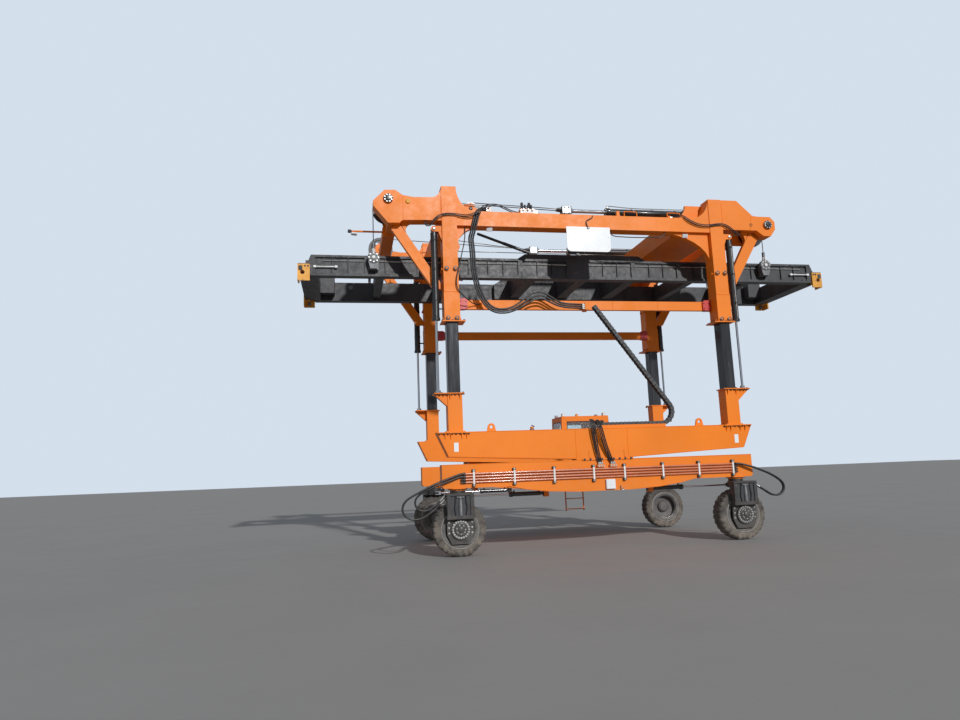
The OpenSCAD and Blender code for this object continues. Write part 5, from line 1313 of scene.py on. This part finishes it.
# %% Lock rods, caps, bolts, ribs and conduit of the spreader
lock_rod = join(tube([(x, Y(1.205), 5.98) for x in (5.33, 5.55, 5.77)], 0.012, 10),
                brick((5.30, Y(1.190), 5.955), (5.36, Y(1.222), 6.005)),
                brick((5.74, Y(1.190), 5.955), (5.80, Y(1.222), 6.005)),
                at(lathe([(0, 0.018), (0.05, 0.018)], 6), (5.40, Y(1.205), 5.98), (1, 0, 0)))
on_sides("lock_rods", both_ends(lock_rod), SPREADER, STRAP)
caps = brick((5.862, Y(1.222), SIDE_Z + 0.238), (6.118, Y(0.985), SIDE_Z + 0.252))
flaps = join(caps, brick((6.02, Y(1.224), SIDE_Z + 0.10), (6.10, Y(1.234), SIDE_Z + 0.20), 0.003))
on_sides("guide_caps", both_ends(flaps), SPREADER, TRIM)
guide_rims = at(torus(0.040, 0.007, 24, 8), (6.02, Y(1.2255), SIDE_Z + 0.06), OUT)
on_sides("guide_rims", both_ends(guide_rims), SPREADER, DARK_BOLT)
end_bolts = [(5.62 + dx, Y(1.19), z) for dx in (0.0, 0.12) for z in (5.85, 6.02, 6.20)]
guide_bolts = [(5.905 + dx, Y(1.225), 5.985) for dx in (0, 0.06)]
edge_bolts = [(x, Y(1.19), 6.215) for x in np.arange(0.30, 5.8, 0.56)]
spreader_bolts = join(at(bolt(0.026), end_bolts, OUT), at(bolt(0.026), guide_bolts, OUT),
                      at(bolt(0.024), edge_bolts, OUT))
on_sides("spreader_bolts", both_ends(spreader_bolts), SPREADER, DARK_BOLT)
ribs = join(*[brick((x - 0.006, Y(1.152), SIDE_Z + 0.062), (x + 0.006, Y(1.186), SIDE_TOP - 0.052), 0.002)
              for i in range(5) for x in (0.26 + i * 1.12 + 0.34, 0.26 + i * 1.12 + 0.68)])
on_sides("spreader_ribs", both_ends(ribs), SPREADER, WORN, "worn_black")
conduit = tube([(x, Y(1.165), 6.12) for x in np.linspace(-5.6, 5.6, 25)], 0.012, 8)
on_sides("spreader_conduit", conduit, SPREADER, ZINC)
print(made[-4:])

# %% [markdown]
# ## Small things on the side frames
# The pivot between box beam and rocker is bolted through a plate. Bolts ring the kingpins, and a
# box, a hook and two blank stickers sit on the near side.

# %% Pivot plates, slewing bolts, glands, box and stickers
pivot = join(brick((-0.45, Y(2.01), 1.752), (0.65, Y(2.032), 1.790)),
             brick((-0.30, Y(2.01), 1.80), (-0.26, Y(2.022), 1.95)),
             brick((0.46, Y(2.01), 1.80), (0.50, Y(2.022), 1.95)))
on_sides("pivot_plates", pivot, CHASSIS, ORANGE, "machine_orange")
pivot_bolts = at(bolt(0.030), row(-0.40, 0.60, 9, Y(2.032), 1.771), OUT)
on_sides("pivot_bolts", pivot_bolts, CHASSIS, DARK_BOLT)
slew_ring = [(WHEEL_X + 0.178 * np.cos(a), Y(SIDE_Y + 0.178 * np.sin(a)), 1.288)
             for a in np.radians(np.arange(0, 360, 24))]
slew = at(bolt(0.024), slew_ring, DOWN)
on_sides("slewing_bolts", both_ends(slew), CHASSIS, DARK_BOLT)
STEER_Y, STEER_Z = SIDE_Y - 0.26, YOKE_Z + 0.045
steer_gland = join(at(lathe([(0, 0.050), (0, 0.056), (0.055, 0.056), (0.062, 0.048), (0.070, 0.040),
                             (0.070, 0.022)], 28), (1.835, Y(STEER_Y), STEER_Z), (1, 0, 0)),
                   at(lathe([(0, 0.020), (0.03, 0.020), (0.034, 0.014)], 6),
                      [(x, Y(STEER_Y), STEER_Z + 0.042) for x in (1.28, 1.80)]))
on_sides("steer_glands", both_ends(steer_gland), CHASSIS, BLACK, "black_paint")
box = join(brick((0.02, Y(2.012), 1.16), (0.22, Y(2.058), 1.36), 0.008),
           brick((0.03, Y(2.058), 1.17), (0.21, Y(2.064), 1.35), 0.004),
           at(lathe([(0, 0.012), (0.008, 0.012), (0.010, 0.008)], 12), (0.12, Y(2.064), 1.26), OUT))
piece("rocker_box", box, "near_chassis", WHITE, "sign_white")
hook = tube(smooth_path([(0.34, Y(2.005), 1.22), (0.34, Y(2.035), 1.22), (0.34, Y(2.040), 1.17),
                         (0.36, Y(2.040), 1.14), (0.39, Y(2.040), 1.145), (0.40, Y(2.040), 1.18)], 0.02),
            0.009, 8)
piece("rocker_hook", hook, "near_chassis", ZINC)
stickers = join(*[brick((x - 0.045, Y(2.0105), 2.01), (x + 0.045, Y(2.012), 2.19), 0.0005)
                  for x in (-3.02, 3.02)])
piece("blank_stickers", stickers, "near_chassis", WHITE, "sign_white")


# %% Weld beads, and the bolts of the hoses' feet
def slanted(x0, z0, x1, z1):
    """A weld bead on the box beam's outer face, at both ends."""
    return both_ends(bead([(x0, Y(BEAM_OUT + 0.001), z0),
                           ((x0 + x1) / 2, Y(BEAM_OUT + 0.001), (z0 + z1) / 2),
                           (x1, Y(BEAM_OUT + 0.001), z1)]))


beads = join(slanted(0.58, 1.800, 3.14, 1.922), slanted(3.175, 1.925, 3.385, 2.385),
             slanted(0.0, 2.392, 2.73, 2.392), slanted(0.56, 1.80, 0.56, 2.385),
             slanted(0.62, 1.158, 1.20, 1.182), slanted(1.20, 1.182, 1.65, 1.238),
             slanted(1.65, 1.238, 2.0, 1.308), slanted(0.0, 1.757, 3.30, 1.757))
on_sides("frame_seams", beads, CHASSIS, ORANGE, "machine_orange")
tie_seams = join(*[bead([(x, Y(1.731), z) for z in (4.957, 5.05, 5.151)], 0.004)
                   for x in (-1.6, -0.55, 0.55, 1.6)])
on_sides("tie_bar_seams", tie_seams, PORTAL, ORANGE, "machine_orange")
cap_places = [(x, Y(2.082), 1.63) for x in (-0.125, -0.074, -0.02, 0.14, 0.194, 0.245)]
nut_places = [(x, Y(2.040), 1.66) for x in (-0.108, -0.074, -0.04, 0.16, 0.194, 0.228)]
foot_caps = join(at(bolt(0.026), cap_places, OUT), at(nut, nut_places))
piece("hose_foot_bolts", foot_caps, "near_chassis", ZINC)
print(made[-6:])

# %% [markdown]
# ## Power pack, tank and cab
# On the far side a hood with louvres stands over the engine, a tank hangs between, and the
# driver looks along the machine from a glazed cab.

# %% Hood, exhaust and tank
HINGE_X, LATCH_X, STRAP_X = (-1.9, -1.2, -0.4), (-1.75, -0.95, -0.30), (0.06, 0.27)


def far(x, d, z):
    """A place on the far side, at the distance d from the lane's middle."""
    return (x, LANE_Y + d, z)


hinge = lathe([(0, 0.014), (0.10, 0.014)], 12)
hinges = join(*[at(hinge, far(x, 2.925, 2.185), (1, 0, 0)) for x in HINGE_X],
              *[brick(far(x - 0.01, 2.918, 2.13), far(x + 0.11, 2.926, 2.185), 0.002)
                for x in HINGE_X])
latch = lathe([(0, 0.016), (0.012, 0.016), (0.014, 0.010)], 12)
latches = join(*[brick(far(x - 0.03, 2.92, 1.36), far(x + 0.03, 2.938, 1.46), 0.006)
                 for x in LATCH_X],
               *[at(latch, far(x, 2.938, 1.41), AWAY) for x in LATCH_X])
piece("hood_hinges", join(hinges, latches), "far_chassis", DARK_BOLT)
doors = join(*[brick(far(x0, 2.918, 1.32), far(x1, 2.924, 2.12), 0.004)
               for x0, x1 in ((-1.16, -0.62), (-0.58, -0.14))],
             brick(far(-1.95, 2.20, 2.308), far(-0.9, 2.72, 2.322), 0.006))
piece("hood_doors", doors, "far_chassis", ORANGE, "machine_orange")
handle = ((2.918, 1.60), (2.955, 1.61), (2.960, 1.70), (2.955, 1.79), (2.918, 1.80))
grab = join(*[tube(smooth_path([far(x, d, z) for d, z in handle], 0.03), 0.009, 8)
              for x in (-0.68, -0.20)])
piece("hood_handles", grab, "far_chassis", TRIM)
vanes = join(*[brick(far(x0, d0, 1.475 + 0.06 * i), far(x1, d1, 1.483 + 0.06 * i), 0.002)
               for x0, d0, x1, d1 in ((-1.93, 2.900, -1.23, 2.918), (-2.078, 2.22, -2.060, 2.80))
               for i in range(9)])
piece("hood_vanes", vanes, "far_chassis", TRIM)
exhaust = join(at(lathe([(0, 0.046), (0.012, 0.054), (0.10, 0.054), (0.11, 0.047)], 24),
                  far(-0.33, 2.23, 2.33)),
               at(lathe([(0, 0.047), (0.02, 0.060), (0.20, 0.060), (0.22, 0.047)], 24),
                  far(-0.33, 2.23, 2.46)),
               at(lathe([(0, 0.052), (0.008, 0.052), (0.010, 0.044)], 24),
                  far(-0.30, 2.23, 2.745), (0.5, 0, 0.87)))
piece("exhaust", exhaust, "far_chassis", CAST)
tank_cap = lathe([(0, 0.050), (0.03, 0.050), (0.034, 0.058), (0.062, 0.058), (0.066, 0.052)], 24)
tank_fit = join(*[brick(far(x - 0.025, d0, z0), far(x + 0.025, d1, z1), 0.002)
                  for d0, z0, d1, z1 in ((2.098, 1.25, 2.636, 1.262), (2.630, 1.25, 2.637, 2.016),
                                         (2.105, 2.010, 2.636, 2.017)) for x in STRAP_X],
                at(tank_cap, far(0.16, 2.45, 2.008)))
piece("tank_straps", tank_fit, "far_chassis", ZINC)
gauge = join(tube([far(0.16, 2.648, z) for z in (1.42, 1.6, 1.82)], 0.010, 10),
             at(lathe([(0, 0.016), (0.018, 0.016)], 6),
                [far(0.16, 2.630, z) for z in (1.40, 1.84)], AWAY))
piece("tank_gauge", gauge, "far_chassis", LENS)
print(made[-6:])

# %% Cab: glass and seals
panes = join(brick(far(1.754, 2.185, 1.765), far(1.760, 2.915, 2.835), 0.001),
             brick(far(0.459, 2.185, 1.765), far(0.465, 2.915, 2.835), 0.001),
             brick(far(0.595, 2.117, 2.065), far(1.625, 2.123, 2.835), 0.001))
piece("cab_panes", panes, "far_chassis", GLASS)
piece("door_pane", brick(far(0.675, 3.014, 2.065), far(1.325, 3.020, 2.805), 0.001), "cab_door", GLASS)


def seal(corner_a, corner_b, flat, width=0.018):
    """Four strips round an opening; flat is the axis that the opening faces."""
    low, high = np.minimum(corner_a, corner_b), np.maximum(corner_a, corner_b)
    across = [k for k in range(3) if k != flat]
    strips = []
    for k in across:
        other = across[1 - across.index(k)]
        for edge in (low, high):
            a, b = low.copy(), high.copy()
            a[other], b[other] = edge[other] - width / 2, edge[other] + width / 2
            a[k], b[k] = low[k] - width / 2, high[k] + width / 2
            strips.append(brick(a, b, 0.004))
    return join(*strips)


seals = join(seal(far(1.750, 2.192, 1.772), far(1.766, 2.908, 2.828), 0),
             seal(far(0.454, 2.192, 1.772), far(0.470, 2.908, 2.828), 0),
             seal(far(0.602, 2.096, 2.072), far(1.618, 2.104, 2.828), 1))
piece("cab_seals", seals, "far_chassis", TRIM)
piece("door_seal", join(seal(far(0.682, 3.032, 2.072), far(1.318, 3.040, 2.798), 1),
                        brick(far(1.325, 3.055, 1.86), far(1.355, 3.061, 2.02), 0.002)), "cab_door", TRIM)


# %% Cab: seat and controls
def pillow(low, high, puff=0.35):
    """A superellipsoid that fills the box between two corners, its cosines and sines to the puff."""
    u = np.linspace(-np.pi / 2, np.pi / 2, 15)[1:-1, None]
    v = np.linspace(-np.pi, np.pi, 32, endpoint=False)[None, :]

    def power(w):
        return np.sign(w) * np.abs(w) ** puff

    p = np.stack(np.broadcast_arrays(power(np.cos(u)) * power(np.cos(v)),
                                     power(np.cos(u)) * power(np.sin(v)), power(np.sin(u))), -1)
    low, high = np.minimum(low, high), np.maximum(low, high)
    return capped((low + high) / 2 + p * (high - low) / 2)


def turned_about(shape, place, angle):
    """The shape turned about an axis along Y through a place."""
    c, s = np.cos(angle), np.sin(angle)
    p = shape[0] - place
    return np.column_stack([p[:, 0] * c + p[:, 2] * s, p[:, 1],
                            p[:, 2] * c - p[:, 0] * s]) + place, shape[1]


seat = pillow(far(0.87, 2.32, 1.715), far(1.37, 2.78, 1.80))
back = turned_about(pillow(far(0.955, 2.34, 1.76), far(1.035, 2.76, 2.36)),
                    np.array(far(0.97, 2.55, 1.76)), -0.145)
rest = turned_about(pillow(far(0.945, 2.42, 2.385), far(1.025, 2.68, 2.55)),
                    np.array(far(0.97, 2.55, 1.76)), -0.145)
for name, shape in (("seat_cushion", seat), ("seat_back", back), ("seat_headrest", rest)):
    piece(name, shape, "far_chassis", CUSHION, sharp=60)
joystick = lathe([(0, 0.022), (0.03, 0.014), (0.10, 0.010), (0.11, 0.020), (0.15, 0.022),
                  (0.16, 0.014)], 16)
REST_D, steering_axis = (2.27, 2.83), (-0.55, 0, 0.83)
controls = join(*[at(joystick, far(1.16, d, 1.99)) for d in REST_D],
                *[brick(far(0.98, d - 0.05, 1.92), far(1.26, d + 0.05, 1.99), 0.012) for d in REST_D],
                *[brick(far(1.02, d - 0.02, 1.66), far(1.08, d + 0.02, 1.93), 0.006) for d in REST_D],
                at(torus(0.17, 0.014, 32, 8), far(1.46, 2.55, 2.06), steering_axis),
                at(lathe([(-0.10, 0.018), (0, 0.030), (0.01, 0.03)], 14), far(1.46, 2.55, 2.06),
                   steering_axis),
                tube([far(1.46, d, 2.06) for d in (2.39, 2.55, 2.71)], 0.010, 8))
piece("cab_controls", controls, "far_chassis", TRIM)

# %% Cab: lamps, mirror, wiper, rails and ladder
lights = join(*[brick(far(x - 0.05, d - 0.06, 2.975), far(x + 0.02, d + 0.06, 3.055), 0.008)
                for x, d in ((1.70, 2.25), (1.70, 2.85), (0.56, 2.25), (0.56, 2.85))])
piece("cab_lamps", lights, "far_chassis", WHITE, "sign_white")
beacon = at(lathe([(0, 0.055), (0.02, 0.055), (0.022, 0.048), (0.09, 0.046), (0.115, 0.034),
                   (0.12, 0.01)], 24), far(1.15, 2.9, 2.97))
piece("beacon", beacon, "far_chassis", AMBER)
mirror = join(tube(smooth_path([far(1.755, 2.98, 2.55), far(1.84, 3.02, 2.57), far(1.92, 3.06, 2.56)],
                               0.04), 0.010, 8),
              brick(far(1.90, 2.99, 2.28), far(1.925, 3.13, 2.56), 0.010))
piece("mirror_body", mirror, "far_chassis", TRIM)
piece("mirror_face", brick(far(1.897, 3.00, 2.29), far(1.901, 3.12, 2.55), 0.001), "far_chassis", CHROME,
      "chrome_rod")
wiper = join(tube([far(1.800, 2.45, 1.75), far(1.795, 2.50, 2.10), far(1.782, 2.56, 2.44)], 0.007, 6),
             brick(far(1.772, 2.545, 2.12), far(1.782, 2.565, 2.70), 0.003),
             at(lathe([(0, 0.022), (0.02, 0.022)], 14), far(1.792, 2.45, 1.75), (1, 0, 0)))
piece("wiper", wiper, "far_chassis", TRIM)
rail = ((2.99, 1.50), (3.045, 1.52), (3.055, 1.62), (3.055, 2.10), (3.055, 2.55), (3.045, 2.64),
        (2.99, 2.66))
rails = join(*[tube(smooth_path([far(x, d, z) for d, z in rail], 0.06), 0.014, 10)
               for x in (0.50, 1.50)])
piece("hand_rails", rails, "far_chassis", CORNER)
stile = ((2.80, 1.215), (2.98, 1.20), (3.02, 1.12), (3.03, 0.90), (3.03, 0.46))
ladder = join(*[tube(smooth_path([far(x, d, z) for d, z in stile], 0.06), 0.018, 10)
                for x in (0.74, 1.24)],
              *[brick(far(0.74, 2.93, z), far(1.24, 3.05, z + 0.022), 0.004) for z in (0.50, 0.78, 1.06)])
piece("cab_ladder", ladder, "far_chassis", ORANGE, "machine_orange")
print(made[-8:])
triangles = sum(count for _, count in made)
print(len(made), "pieces,", triangles, "triangles; largest", max(made, key=lambda m: m[1]))
